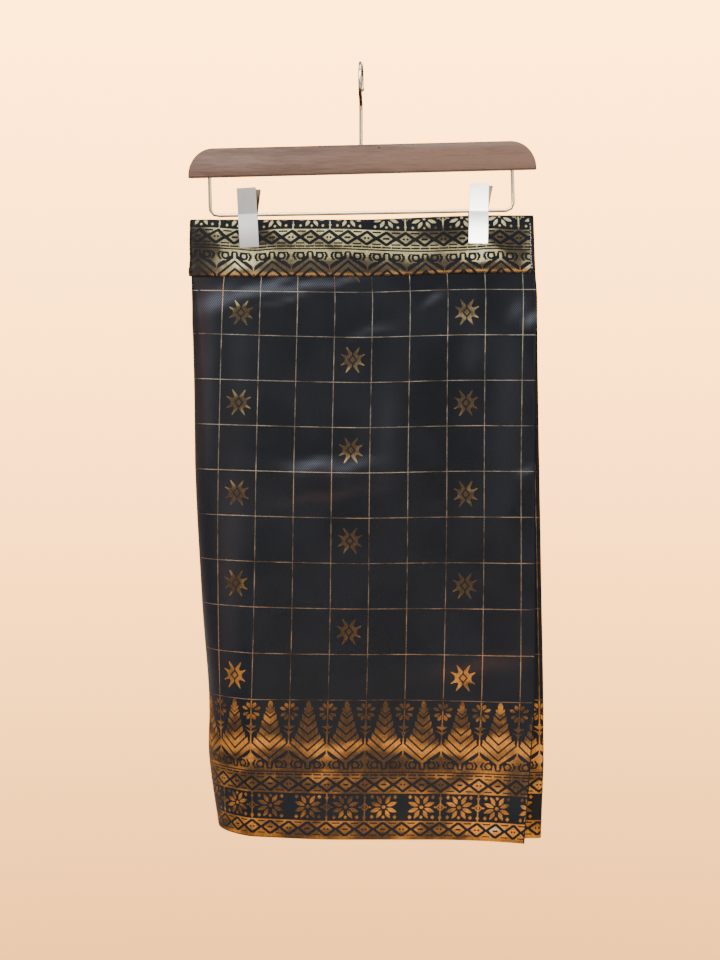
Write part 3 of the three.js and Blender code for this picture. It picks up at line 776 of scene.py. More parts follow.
def palmette_column(line, up):
    """What grows on an upright line above the zigzag: a stem, two pairs of leaves and an eight-leaved palmette."""
    y = up - 138.2
    gold = (line < 0.62) & (up > 75)
    for angle, reach in ((63, 10.2), (22, 11.0), (-28, 10.4), (-64, 10.6)):
        gold = gold | leaves(line, y, angle, 2.8, reach, 3.7, 1.5)
    spade = line < np.where(up > 121.6, 1.7 * ramp(127.8 - up, 0, 5.4), 5.5 * ramp(up, 118.3, 121.6))
    horns = np.abs(up - 121.5 - 0.12 * line) < 1.0 * ramp(7.0 - line, 0, 6.0)
    cup = (up > 103) & (line < 0.9 + 6.0 * ramp(up, 112, 118.3) ** 2.2) & (up < 116.0 + 0.33 * line)
    return gold | (spade & (up > 118.3)) | horns | cup


def fleur_row(line, shoot, up):
    """What lies under the zigzag: a fleur on each upright line, with a dot in a curl on each side, and a base."""
    spread = np.where(up > 86.5, ramp(97 - up, 0, 10.5) ** 2.3, ramp(up, 82.0, 86.5) ** 0.7)
    body = 1.3 + 5.0 * ramp(80.6 - up, 0, 4.5) ** 2
    ring = np.hypot(shoot - 10.3, up - 80.6)
    facing = shoot > 9.3
    curl = (ring < 2.6) | ((np.abs(ring - 5.3) < 0.8) & facing & (up > 77.4))
    clear = (np.abs(ring - 6.95) > 0.9) | (up > 85.2) | ~facing
    hump = np.abs(shoot - 4.9) < 1.9 * (1 - ramp(up, 74.5, 82.4)) ** 0.6
    fleur = (line < 8.6 * spread) | ((line < body) & (up < 83))
    base = (up < 76.6) & ((shoot > 2.7) | (up < 75.6))
    return (up - 0.73 * shoot < 79.8) & (up > 73.3) & (curl | (fleur & clear & (ring > 4.4)) | hump | base)


def border_chart(across, up):
    """The border's chart. Across is measured from an upright line, and up from the hem."""
    cell = across % CELL
    line = np.minimum(cell, CELL - cell)  # from the nearest upright line
    shoot = CELL / 2 - line  # from the bamboo shoot's axis
    bare = np.round(across / CELL) % 3 == 0

    def level(centre, half):
        return np.abs(up - centre) < half

    gold = level(2.1, 1.7) | level(19.7, 0.65) | level(50.1, 0.7)
    gold = gold | lattice_row(line, shoot, up - 11.4, 7.2, 5.4, 1.25, 1.33, 7.9)
    gold = gold | lattice_row(line, shoot, up - 59.2, 7.3, 5.65, 1.5, 1.36, 8.4)
    gold = gold | (level(35.0, 14.6) & blossom_row(line, shoot, up - 35.1, bare))
    dashes = level(69.7, 0.7) & (np.abs((across + CELL / 8) % (CELL / 4) - CELL / 8) < 4.4)
    gold = gold | (level(70.4, 2.9) & ~dashes & ~level(72.8, 0.7))
    gold = gold | fleur_row(line, shoot, up) | shoot_row(shoot, up)
    return gold | (palmette_column(line, up) & (up > 75))


def stroke(x, y, start, end, foot, tip):
    """Within half a width of the straight line between two points. The width goes evenly from its foot to its tip."""
    run_x, run_y = end[0] - start[0], end[1] - start[1]
    t = np.clip(((x - start[0]) * run_x + (y - start[1]) * run_y) / (run_x**2 + run_y**2), 0, 1)
    return np.hypot(x - start[0] - t * run_x, y - start[1] - t * run_y) < (foot + (tip - foot) * t) / 2


def star_chart(x, y):
    """An eight-pointed star: four angled bars round a small diamond, each with an upright point and a side point."""
    across, up = np.abs(x), np.abs(y)
    star = stroke(across, up, (2.5, 6.2), (6.7, 1.2), 3.9, 3.9)
    star = star | stroke(across, up, (3.0, 7.2), (6.8, 13.3), 3.8, 1.0)
    star = star | stroke(across, up, (7.3, 3.0), (12.3, 5.8), 3.5, 1.0)
    return (star & (across > 0.55) & ~diamond(x, y, 5.3, 5.4)) | diamond(x, y, 3.4, 3.6)


# ---- Gold floats ----


def runs(mask, edges):
    """Column, start and end of each run of True along the second axis, with edges between its samples."""
    step = np.diff(np.pad(mask, ((0, 0), (1, 1))).astype(np.int8), axis=1)
    column, start = np.nonzero(step == 1)
    _, end = np.nonzero(step == -1)
    return column, edges[start], edges[end]


def bound(low, high, longest):
    """Splits each run evenly into stitches no longer than longest. Gives each stitch's run, start and end."""
    count = np.maximum(1, np.ceil((high - low) / longest)).astype(int)
    run = np.repeat(np.arange(len(low)), count)
    k = np.arange(count.sum()) - np.repeat(np.cumsum(count) - count, count)
    step = ((high - low) / count)[run]
    return run, low[run] + k * step, low[run] + (k + 1) * step


def chart_floats(chart, low, high, repeat, longest, inset=0.0):
    """Upright floats of one repeat of a chart: each thread's place across, and where each float starts and ends.

    With an inset the gold stays that far inside its chart, so that the dark lines between gain in width.
    """
    count = round(repeat / CELL * THREADS)
    pitch = repeat / count
    edges = np.arange(low, high + 1e-6, 0.25)
    across = (np.arange(count) + 0.5) * pitch
    middles = (edges[:-1] + edges[1:])[None, :] / 2
    mask = chart(across[:, None] - inset, middles) & chart(across[:, None] + inset, middles)
    column, start, end = runs(mask, edges)
    start, end = start + inset, end - inset
    kept = end - start > 0.2
    run, start, end = bound(start[kept], end[kept], longest)
    return across[column[kept][run]], start, end


def tiled(across, start, end, firsts):
    """The same floats laid once at each of these places, each a little short of its place in the chart."""
    return (
        (firsts[:, None] + across).ravel(),
        np.tile(start + FLOAT_GAP, len(firsts)),
        np.tile(end - FLOAT_GAP, len(firsts)),
    )


def glow_at(patches, along, level):
    """How much light the gold catches, 0 to 1: a gentle swell of two crossed waves, and the listed patches."""
    wave = np.sin(along / 23 + 2.2 * np.sin(level / 31)) * np.sin(level / 15 + 1.7 * np.sin(along / 37))
    total = 0.5 + 0.20 * wave + 0.10 * np.sin(along / 7.3 + level / 5.1)
    for row in patches:
        f = dict(zip(GLOW_COLUMNS, row))
        x, y = (along - f["along"]) / f["wide"], (level - f["up"]) / f["tall"]
        total = total + f["gain"] * np.exp(-(x**2) - y**2)
    return total


def body_glow(along, up):
    """The cloth's glow: its patches, and the bright wavy level where the zigzags' arms meet."""
    crest = 101 + 5 * np.sin(along / 21)
    return glow_at(GLOW, along, up) + 0.45 * np.exp(-(((up - crest) / 8) ** 2))


def band_glow(along, travel):
    """The waistband's glow: its patches, and the copper light along its lower fold."""
    return glow_at(BAND_GLOW, along, travel) + 0.5 * np.exp(-(((travel - 60.6) / 2.2) ** 2))


def float_mesh(name, surface, map_at, glow, floats, level):
    """Gold floats as low ridges, six points each.

    Each float has a centre line, from u[:, 0], v[:, 0] to u[:, 1], v[:, 1], half a width, a tone and a gain that is
    added to its glow. It is crowned: its two edges lie on the ground weave, and its back stands above it by the float
    height. Level is the ground's height above the middle of the cloth, in millimetres.
    """
    u, v, half, tone, gain = floats
    high = bpy.context.scene.sampin_gold.lift / MM
    du, dv = u[:, 1] - u[:, 0], v[:, 1] - v[:, 0]
    size = np.hypot(du, dv)
    side_u, side_v = dv / size * half, -du / size * half
    across = np.array([-1.0, 0.0, 1.0])
    uu = (u[:, :, None] + side_u[:, None, None] * across).ravel()
    vv = (v[:, :, None] + side_v[:, None, None] * across).ravel()
    lift = np.tile(level + np.array([0.05, 0.05 + high, 0.05]), 2 * len(u))
    first = np.arange(len(u))[:, None] * 6
    quads = np.concatenate([first + [0, 1, 4, 3], first + [1, 2, 5, 4]])
    light = np.clip(glow(u.mean(axis=1), v.mean(axis=1)) + gain, -1, 2)
    shades = {"tone": np.repeat(tone, 6), "glow": np.repeat(light, 6)}
    return quad_mesh(name, surface(uu, vv, lift), quads, map_at(uu, vv), **shades)


def line_floats():
    """The upright and level lines of the check above the border, two threads wide."""
    half = LINE_THREAD / 2
    lines = np.arange(0, 27)
    places = FIRST_LINE + CELL * lines
    starts = np.arange(FIRST_LEVEL + 0.8, LINE_TOP, 2.3)
    parts = []
    for k, side in enumerate((-1, 1)):
        at, start = np.broadcast_arrays(places[:, None] + side * half * 1.1, starts[None, :] + 1.15 * k)
        # flash: painted copper glints, in segments along each upright line
        flash = np.sin(starts / 9 + 2.1 * lines[:, None]) * np.sin(starts / 23 + 1.3 * lines[:, None])
        tone = (0.12 + 0.6 * smooth(flash, 0.3, 0.6)).ravel()
        parts.append((at.ravel(), at.ravel(), start.ravel(), start.ravel() + 1.95, half, tone, 0.05))
    levels = FIRST_LEVEL + ROW * np.arange(0, 10)
    starts = np.arange(1.2, CLOTH_END - 3, 2.6)
    for k, side in enumerate((-1, 1)):
        at, start = np.broadcast_arrays(levels[:, None] + side * half * 1.1, starts[None, :] + 1.3 * k)
        # flash: painted copper glints, in segments along each level line
        flash = np.sin(start / 11 + 2.7 * at) * np.sin(start / 27 + 1.1 * at)
        tone = (0.12 + 0.6 * smooth(flash, 0.35, 0.7)).ravel()
        parts.append((start.ravel(), start.ravel() + 2.35, at.ravel(), at.ravel(), half, tone, 0.05))
    return parts


def star_floats():
    """The stars in every third cell of the check, by turns a cell higher."""
    across = (np.arange(-21, 21) + 0.5) * (CELL / THREADS)
    edges = np.arange(-15, 15.01, 0.25)
    column, start, end = runs(star_chart(across[:, None], (edges[:-1] + edges[1:])[None, :] / 2), edges)
    run, start, end = bound(start, end, 3.2)
    i, r = np.meshgrid(np.arange(0, 26), np.arange(0, 10), indexing="ij")
    chosen = ((i % 6 == 1) & (r % 2 == 0)) | ((i % 6 == 4) & (r % 2 == 1))
    centre_u = (FIRST_LINE + CELL * (i + 0.5))[chosen]
    centre_v = (FIRST_LEVEL + ROW * (r + 0.5))[chosen]
    u = (centre_u[:, None] + across[column[run]]).ravel()
    v0, v1 = (centre_v[:, None] + start).ravel(), (centre_v[:, None] + end).ravel()
    out = np.hypot(across[column[run]], (start + end) / 2)
    # Painted light: the stars catch less light than the other gold, and their tips catch more than their middles.
    gain = np.tile(-0.55 + 0.32 * ramp(out, 3, 13), len(centre_u))
    return [(u, u, v0, v1, FLOAT_HALF, 0.3, gain)]


def border_floats():
    """The border's floats over the whole cloth: its chart repeats every three cells."""
    floats = chart_floats(border_chart, 0.0, FIRST_LEVEL - 0.8, REPEAT, 3.4)
    u, v0, v1 = tiled(*floats, FIRST_LINE + REPEAT * np.arange(-1, 9))
    return [(u, u, v0, v1, FLOAT_HALF, 0.4, 0.0)]


def band_floats():
    """The waistband's floats: the border's chart read upside down, and drawn out of square with the band."""

    def chart(across, travel):
        return border_chart(across, band_up(travel))

    floats = chart_floats(chart, -9.5, BAND_FOOT + 6.5, REPEAT, 2.4, inset=0.25)
    u, v0, v1 = tiled(*floats, BAND_LINE + CELL + REPEAT * np.arange(-1, 7))
    (u0, v0), (u1, v1) = band_drawn(u, v0), band_drawn(u, v1)
    shown = (v0 > -3.5) & (v1 < BAND_FOOT + 5.0)
    return [(u0[shown], u1[shown], v0[shown], v1[shown], FLOAT_HALF, 0.3, 0.0)]


def stitch_floats(rng):
    """Short stitches one below the other at the band's end, each a little off its place."""
    start = np.arange(9.0, 57.0, 2.9) + rng.uniform(-0.5, 0.5, 17)
    run = np.full((17, 2), 4.3) + rng.uniform(-0.35, 0.35, (17, 1))
    return run, np.stack([start, start + 1.7], axis=1), np.full(17, 0.42), np.full(17, 0.5), np.zeros(17)


def cut_floats(parts, low, high, rng):
    """Joins sets of floats, keeps those on one stretch, and gives each thread its own small difference in tone."""
    u0, u1, v0, v1, half, tone, gain = (
        np.concatenate([np.broadcast_to(part[k], len(part[0])) for part in parts]) for k in range(7)
    )
    keep = (np.minimum(u0, u1) > low) & (np.maximum(u0, u1) < high)
    tone = np.clip(tone + rng.uniform(-0.3, 0.3, len(tone)), 0, 1)[keep]
    return np.stack([u0, u1], axis=1)[keep], np.stack([v0, v1], axis=1)[keep], half[keep], tone, gain[keep]


# ---- Materials ----


def feed(tree, socket, value):
    """Links an input to a socket, or sets its value. A colour of three numbers is made opaque."""
    if isinstance(value, bpy.types.NodeSocket):
        tree.links.new(value, socket)
    elif value is not None:
        opaque = socket.type == "RGBA" and len(value) == 3
        socket.default_value = (*value, 1.0) if opaque else value


def add_node(tree, kind, inputs=None, **settings):
    """A node with its settings, and its inputs by name or number: each is a value, or the socket that feeds it."""
    node = tree.nodes.new(kind)
    for key, value in settings.items():
        setattr(node, key, value)
    for key, value in (inputs or {}).items():
        feed(tree, node.inputs[key], value)
    return node


def math_node(tree, operation, *values):
    """A Math node of values or sockets. Gives its output."""
    return add_node(tree, "ShaderNodeMath", dict(enumerate(values)), operation=operation).outputs[0]


def mix_colour(tree, share, a, b, blend="MIX"):
    """A Mix node of colours, each a value or a socket. Gives its output."""
    return add_node(tree, "ShaderNodeMix", {0: share, 6: a, 7: b}, data_type="RGBA", blend_type=blend).outputs[2]


def map_range(tree, value, low, high, to_low, to_high, smoothed=True):
    """A Map Range node. Gives its output."""
    inputs = {"Value": value, "From Min": low, "From Max": high, "To Min": to_low, "To Max": to_high}
    kind = "SMOOTHSTEP" if smoothed else "LINEAR"
    return add_node(tree, "ShaderNodeMapRange", inputs, interpolation_type=kind).outputs["Result"]


def colour_ramp(tree, value, stops):
    """A colour ramp through stops of a place and a colour. Gives its colour."""
    node = add_node(tree, "ShaderNodeValToRGB", {0: value})
    elements = node.color_ramp.elements
    for k, (place, colour) in enumerate(stops):
        stop = elements[k] if k < 2 else elements.new(1.0)
        stop.position, stop.color = place, (*colour, 1)
    return node.outputs[0]


def noise(tree, vector, scale, detail=3.0, roughness=0.55):
    """A noise texture read at a vector. Gives its value."""
    inputs = {"Vector": vector, "Scale": scale, "Detail": detail, "Roughness": roughness}
    return add_node(tree, "ShaderNodeTexNoise", inputs).outputs["Fac"]


def bump(tree, height, strength, distance, normal=None):
    """A Bump node. Gives its normal."""
    inputs = {"Height": height, "Strength": strength, "Distance": distance, "Normal": normal}
    return add_node(tree, "ShaderNodeBump", inputs).outputs["Normal"]


def split(tree, vector):
    """The three parts of a vector."""
    return add_node(tree, "ShaderNodeSeparateXYZ", {0: vector}).outputs


def stretched(tree, vector, shares):
    """A vector stretched by three shares."""
    return add_node(tree, "ShaderNodeMapping", {"Vector": vector, "Scale": shares}).outputs[0]


def attribute(tree, name):
    """A number that the mesh has at each point."""
    return add_node(tree, "ShaderNodeAttribute", attribute_name=name).outputs["Fac"]


def own_place(tree):
    """Object coordinates."""
    return add_node(tree, "ShaderNodeTexCoord").outputs["Object"]


def millimetres(tree, up=1.0):
    """The piece's own map in millimetres, with its second measure stretched by a share."""
    coordinates = add_node(tree, "ShaderNodeUVMap", uv_map="OFBake").outputs[0]
    return stretched(tree, coordinates, (MAP_SIZE, MAP_SIZE * up, 1))


def node_group(name, inputs, outputs, fill):
    """The node group of this name, which is made the first time.

    Its inputs are numbers, or a vector where the value is None. Fill is given the group and its inputs, adds the
    nodes and gives what goes to the outputs, in order.
    """
    group = bpy.data.node_groups.get(name)
    if group:
        return group
    group = bpy.data.node_groups.new(name, "ShaderNodeTree")
    for label, value in inputs.items():
        kind = "NodeSocketVector" if value is None else "NodeSocketFloat"
        socket = group.interface.new_socket(label, in_out="INPUT", socket_type=kind)
        if value is not None:
            socket.default_value = value
    for label in outputs:
        group.interface.new_socket(label, in_out="OUTPUT", socket_type="NodeSocketFloat")
    made = fill(group, add_node(group, "NodeGroupInput").outputs)
    add_node(group, "NodeGroupOutput", dict(zip(outputs, made)))
    return group


def twill(tree, place, pitch):
    """Twill: ribs on the diagonal of a place in millimetres. Gives the rib and a yarn's own tone, both 0 to 1."""

    def fill(group, given):
        parts = split(group, given["Place"])
        diagonal = math_node(group, "ADD", parts[0], math_node(group, "MULTIPLY", parts[1], 0.75))
        turns = math_node(group, "MULTIPLY", math_node(group, "DIVIDE", diagonal, given["Pitch"]), 2 * math.pi)
        yarns = {0: given["Place"], 1: (1.9, 0.06, 1.0)}
        yarns = add_node(group, "ShaderNodeVectorMath", yarns, operation="MULTIPLY").outputs[0]
        rib = math_node(group, "MULTIPLY_ADD", math_node(group, "SINE", turns), 0.5, 0.5)
        return rib, noise(group, yarns, 1.0, 2.0)

    group = node_group("Twill weave", {"Place": None, "Pitch": 1.0}, ("Rib", "Yarn"), fill)
    return add_node(tree, "ShaderNodeGroup", {"Place": place, "Pitch": pitch}, node_tree=group).outputs


def patches(tree, place, size, mottle):
    """Patchy tone: soft patches of a place in millimetres, from 0 to 1, with a finer mottle in them."""

    def fill(group, given):
        sizes = add_node(group, "ShaderNodeCombineXYZ", dict.fromkeys(range(3), given["Size"])).outputs[0]
        shared = {0: given["Place"], 1: sizes}
        shared = add_node(group, "ShaderNodeVectorMath", shared, operation="DIVIDE").outputs[0]
        broad = map_range(group, noise(group, shared, 1.0, 1.5), 0.34, 0.66, 0.0, 1.0)
        fine = math_node(group, "SUBTRACT", noise(group, shared, 13.0, 2.0), 0.5)
        tone = math_node(group, "ADD", broad, math_node(group, "MULTIPLY", fine, given["Mottle"]))
        return (add_node(group, "ShaderNodeClamp", {0: tone}).outputs[0],)

    group = node_group("Patchy tone", {"Place": None, "Size": 30.0, "Mottle": 0.3}, ("Tone",), fill)
    inputs = {"Place": place, "Size": size, "Mottle": mottle}
    return add_node(tree, "ShaderNodeGroup", inputs, node_tree=group).outputs[0]


def new_material(name):
    """A material of nodes, and its tree."""
    material = bpy.data.materials.new(name)
    material.use_nodes = True
    return material, material.node_tree


def finish(material, **inputs):
    """Sets or links the inputs of the material's one Principled BSDF. Gives the material."""
    shader = material.node_tree.nodes["Principled BSDF"]
    for key, value in inputs.items():
        feed(material.node_tree, shader.inputs[key.replace("_", " ")], value)
    return material


def ground_material(settings):
    """The ground: dark satin twill, with a blue cast on its raised yarns and faint tonal patches.

    Two attributes carry painted sheen, the pale streaks and the reddish painted reflections, and the shade attribute
    darkens it with painted shade.
    """
    material, tree = new_material("Charcoal twill")
    place = millimetres(tree)
    rib, yarn = twill(tree, place, 2.3)
    patch = patches(tree, place, 64.0, 0.25)
    raised = math_node(tree, "MULTIPLY", rib, map_range(tree, yarn, 0.3, 0.7, 0.25, 0.9))
    colour = mix_colour(tree, raised, settings.ground, settings.ground_light)
    tint = colour_ramp(tree, patch, ((0, (0.80, 0.82, 0.86)), (1, (1.12, 1.10, 1.14))))
    colour = mix_colour(tree, 1.0, colour, tint, "MULTIPLY")
    woven = math_node(tree, "MULTIPLY_ADD", rib, 1.1, 0.15)
    # Painted sheen: pale streaks and reddish painted reflections, stronger on the twill's ribs.
    for name, light in (("sheen", (0.105, 0.118, 0.150)), ("shimmer", (0.070, 0.034, 0.028))):
        colour = mix_colour(tree, math_node(tree, "MULTIPLY", attribute(tree, name), woven), colour, light)
    shade = math_node(tree, "MULTIPLY", attribute(tree, "shade"), 0.85)
    return finish(
        material,
        Base_Color=mix_colour(tree, shade, colour, (0.0035, 0.0018, 0.0012)),
        Roughness=map_range(tree, patch, 0.0, 1.0, 0.36, 0.46),
        Normal=bump(tree, rib, 0.4, 0.00015),
        Metallic=0.0,
        Specular_IOR_Level=0.2,
        Sheen_Weight=0.02,
        Sheen_Roughness=0.4,
        Sheen_Tint=(0.62, 0.7, 1.0),
    )


def gold_material(name, shades, levels, glint=(0.86, 0.88, 0.60)):
    """Gold thread: copper at the hem, brown gold above it and pale gold at the waist, a change that is painted light:
    warm light from below, white light from above.

    The glow attribute carries painted light: the patches that catch the light, up to a painted glint of another colour
    where it is highest. Single threads get a painted copper glint by their tone.
    """
    material, tree = new_material(name)
    first, last = levels[0][0], levels[-1][0]
    shades = [np.array(shade) for shade in shades]
    stops = []
    for level, gone in levels:
        low = min(int(gone), 1)
        shade = shades[low] * (1 - gone + low) + shades[low + 1] * (gone - low)
        stops.append(((level - first) / (last - first), shade))
    height = map_range(tree, split(tree, millimetres(tree))[1], first, last, 0.0, 1.0, smoothed=False)
    plain = colour_ramp(tree, height, stops)
    tone, glow = attribute(tree, "tone"), attribute(tree, "glow")
    uneven = math_node(tree, "MULTIPLY_ADD", patches(tree, millimetres(tree, 1.9), 24.0, 0.9), 0.3, -0.15)
    light = map_range(tree, math_node(tree, "ADD", glow, uneven), 0.1, 0.95, 0.0, 1.0)
    dull = mix_colour(tree, 1.0, plain, (0.30, 0.30, 0.30), "MULTIPLY")
    dull = mix_colour(tree, 0.66, dull, (0.084, 0.052, 0.031))
    bright = mix_colour(tree, 1.0, plain, (1.42, 1.42, 1.36), "MULTIPLY")
    colour = mix_colour(tree, light, dull, bright)
    colour = mix_colour(tree, map_range(tree, glow, 1.25, 1.9, 0.0, 0.85), colour, glint)
    colour = mix_colour(tree, map_range(tree, glow, -0.9, 0.05, 0.65, 0.0), colour, (0.022, 0.015, 0.011))
    # Painted glint: threads of high tone turn copper.
    colour = mix_colour(tree, map_range(tree, tone, 0.55, 0.95, 0.0, 0.5), colour, (0.42, 0.13, 0.05))
    shade = map_range(tree, tone, 0.0, 1.0, 0.62, 1.38, smoothed=False)
    grey = add_node(tree, "ShaderNodeCombineColor", dict.fromkeys(range(3), shade)).outputs[0]
    return finish(
        material,
        Base_Color=mix_colour(tree, 1.0, colour, grey, "MULTIPLY"),
        Roughness=map_range(tree, light, 0.0, 1.0, 0.55, 0.36),
        Metallic=0.82,
        Specular_IOR_Level=0.5,
    )


def wood_material(settings):
    """Walnut: fine long grain along X, slow bands of darker late wood, pores, and painted shade on its top, underside
    and ends.

    Its front is softly rounded towards its top and foot, by the square of the distance past its flat middle.
    """
    material, tree = new_material("Walnut")
    own = own_place(tree)

    def streaks(shares, detail, low, high):
        return map_range(tree, noise(tree, stretched(tree, own, shares), 1.0, detail, 0.6), low, high, 0.0, 1.0)

    bands = streaks((9.0, 60.0, 95.0), 2.0, 0.34, 0.68)
    fine = streaks((38.0, 300.0, 900.0), 4.0, 0.36, 0.66)
    pore = streaks((110.0, 900.0, 2100.0), 2.0, 0.60, 0.70)
    x, _, z = split(tree, own)
    late = math_node(tree, "MULTIPLY_ADD", fine, 0.55, math_node(tree, "MULTIPLY", bands, 0.45))
    late = math_node(tree, "SUBTRACT", late, map_range(tree, x, -0.04, 0.14, 0.0, 0.5))
    colour = mix_colour(tree, late, settings.wood_light, settings.wood_dark)
    colour = mix_colour(tree, math_node(tree, "MULTIPLY", pore, 0.45), colour, (0.045, 0.022, 0.015))
    facing = split(tree, add_node(tree, "ShaderNodeNewGeometry").outputs["Normal"])[1]
    # Painted shade: the faces turned away from the front and back (the top, underside and ends) are darker.
    edge = map_range(tree, math_node(tree, "ABSOLUTE", facing), 0.55, 0.95, 1.0, 0.0)
    low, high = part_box("hanger_bar")
    axis = math_node(tree, "MULTIPLY_ADD", x, -math.tan(math.radians(BAR_TILT)), z)
    off = math_node(tree, "ABSOLUTE", math_node(tree, "SUBTRACT", axis, (low[2] + high[2]) / 2))
    fall = math_node(tree, "POWER", map_range(tree, off, 0.005, BAR_HALF, 0.0, 1.0, smoothed=False), 2.0)
    return finish(
        material,
        Base_Color=mix_colour(tree, edge, colour, (0.055, 0.020, 0.010)),
        Roughness=map_range(tree, late, -0.3, 1.0, 0.42, 0.60),
        Normal=bump(tree, pore, 0.25, -0.0001, bump(tree, fall, 1.0, -0.0026)),
        Metallic=0.0,
        Coat_Weight=0.12,
        Coat_Roughness=0.4,
    )


def metal_material(name, colour, roughness, brushed, shares, painted_shade=None, inner=False):
    """Metal with fine brushing: streaks of noise, long along one axis, in its colour and roughness.

    A darker colour may be given as painted shade on the sides and undersides. On an inner plate the face towards the
    cloth gets it too.
    """
    material, tree = new_material(name)
    own = own_place(tree)
    streak = noise(tree, stretched(tree, own, shares), 1.0)
    smear = noise(tree, own, 55.0, 2.0)
    shade = mix_colour(tree, streak, [c * 0.86 for c in colour], colour)
    # Painted shade on the sides and undersides, and on an inner plate's face towards the cloth.
    if painted_shade:
        _, depth, rise = split(tree, add_node(tree, "ShaderNodeNewGeometry").outputs["Normal"])
        front = depth if inner else math_node(tree, "ABSOLUTE", depth)
        turned = math_node(tree, "MULTIPLY_ADD", rise, 0.9, front)
        shade = mix_colour(tree, map_range(tree, turned, 0.3, 0.9, 1.0, 0.0), shade, painted_shade)
    uneven = math_node(tree, "MULTIPLY_ADD", math_node(tree, "ADD", streak, smear), brushed, roughness - brushed)
    return finish(material, Base_Color=shade, Roughness=uneven, Normal=bump(tree, streak, 0.06, 0.00005), Metallic=1.0)


def thread_material(name, colour):
    """Sewing thread: two plies twisted together, seen as slanting light and dark turns."""
    material, tree = new_material(name)
    rib, yarn = twill(tree, millimetres(tree), 0.55)
    return finish(
        material,
        Base_Color=mix_colour(tree, rib, [c * 0.55 for c in colour], colour),
        Roughness=map_range(tree, yarn, 0.0, 1.0, 0.5, 0.7),
        Metallic=0.0,
        Sheen_Weight=0.3,
        Specular_IOR_Level=0.4,
    )


def stage_material(settings):
    """Painted board: neutral to the light it throws on the object. To the camera it glows warm and brighter towards
    the top, as painted light.
    """
    material, tree = new_material("Painted board")
    finish(material, Base_Color=(0.62, 0.61, 0.60), Roughness=0.9, Specular_IOR_Level=0.1)
    height = split(tree, own_place(tree))[2]
    # Painted light: for camera rays the board glows, more strongly towards the top.
    strength = map_range(tree, height, settings.floor, 1.1, 2.7, 12.0, smoothed=False)
    seen = add_node(tree, "ShaderNodeEmission", {"Color": settings.backdrop, "Strength": strength})
    rays = add_node(tree, "ShaderNodeLightPath").outputs["Is Camera Ray"]
    sides = {0: rays, 1: tree.nodes["Principled BSDF"].outputs[0], 2: seen.outputs[0]}
    both = add_node(tree, "ShaderNodeMixShader", sides)
    feed(tree, tree.nodes["Material Output"].inputs["Surface"], both.outputs[0])
    return material


# ---- Operators ----


class SAMPIN_OT_camera(bpy.types.Operator):
    """Stands a level camera in front of the cloth, at the height of its upper third."""

    bl_idname = "sampin.camera"
    bl_label = "Camera"

    def execute(self, context):
        lens = bpy.data.cameras.new("Camera")
        lens.lens, lens.sensor_width, lens.sensor_fit = 85.0, 36.0, "AUTO"
        lens.shift_y = -1 / 12  # of the frame's height
        lens.clip_start, lens.clip_end = 0.1, 50.0
        camera = bpy.data.objects.new("Camera", lens)
        camera.location = (-0.00109, -2.4707, -0.366)
        camera.rotation_euler = (math.pi / 2, 0.0, 0.0)
        context.scene.collection.objects.link(camera)
        context.scene.camera = camera
        return {"FINISHED"}


def column_shares():
    """Shares of the three stretches at the cloth's columns, closer together where it turns."""
    front = 1 - (1 - np.linspace(0, 1, 118)) ** 1.25
    back = 1 + spaced((0, 0.08, 0.983, 1), (12, 84, 8))[1:]
    inner = 2 + spaced((0, 0.022, 1), (8, 58))[1:]
    return np.concatenate([front, back, inner])


class SAMPIN_OT_cloth(bpy.types.Operator):
    """Lays the body cloth as one sheet along its wound path, with its folds, and turns up its hem."""

    bl_idname = "sampin.cloth"
    bl_label = "Songket cloth"

    def execute(self, context):
        settings = context.scene.sampin_cloth
        material = ground_material(settings)
        share = column_shares()[:, None]
        down = spaced((BODY_TOP, COVERED, LENGTH), (8, 114))[None, :]
        along, down = np.broadcast_arrays(along_of(share, down), down)
        # Painted light carried by the mesh: pale and reddish sheen streaks, and painted shade at the right-hand fold.
        lights = {"sheen": sheen(along, down, 0), "shimmer": sheen(along, down, 1), "shade": fold_shade(along, down)}
        mesh = grid_mesh("songket_cloth", on_cloth(along, down, 0.0), cloth_map(along, down), **lights)
        cloth = new_piece(mesh, material, "songket", "body_front", "body_back", "body_inner")
        solidify(cloth, settings.thickness)
        along, down = np.broadcast_arrays(share, LENGTH - np.array([[0.1, 4.0, HEM_TURN]]))
        along = along_of(along, down)
        points = on_cloth(along, down, np.array([[-0.75, -0.95, -0.95]]))
        hem = new_piece(grid_mesh("songket_hem", points, cloth_map(along, down)), material, "songket")
        solidify(hem, HEM_THICKNESS)
        return {"FINISHED"}


class SAMPIN_OT_gold(bpy.types.Operator):
    """Weaves the gold: the border, the check's lines and the stars, as floats on each stretch of the cloth."""

    bl_idname = "sampin.gold"
    bl_label = "Gold weft"

    def execute(self, context):
        settings = context.scene.sampin_cloth
        rng = np.random.default_rng(settings.seed)
        ground = settings.thickness / MM / 2
        fold = float(PATH_SECTIONS["fold"].min())
        gold = context.scene.sampin_gold
        weft = gold_material("Gold weft", (gold.hem, gold.middle, gold.waist), BODY_GOLD)
        halfway = (np.array(gold.line_hem) + np.array(gold.line_waist)) / 2
        thread = gold_material("Check thread", (gold.line_hem, halfway, gold.line_waist), LINE_GOLD, (1.0, 0.50, 0.24))

        def surface(along, up, lift):
            return on_cloth(*drawn(along, up), lift)

        def map_at(along, up):
            return cloth_map(along, LENGTH - up)

        ends = (1.0, fold, RIGHT_FOLD, CLOTH_END - 1)
        for stretch, low, high in zip(("front", "back", "inner"), ends, ends[1:]):
            for kind, parts, material in (
                ("gold", border_floats() + star_floats(), weft),
                ("check", line_floats(), thread),
            ):
                floats = cut_floats(parts, low, high, rng)
                mesh = float_mesh(f"{kind}_{stretch}", surface, map_at, body_glow, floats, ground)
                new_piece(mesh, material, "songket")
        return {"FINISHED"}


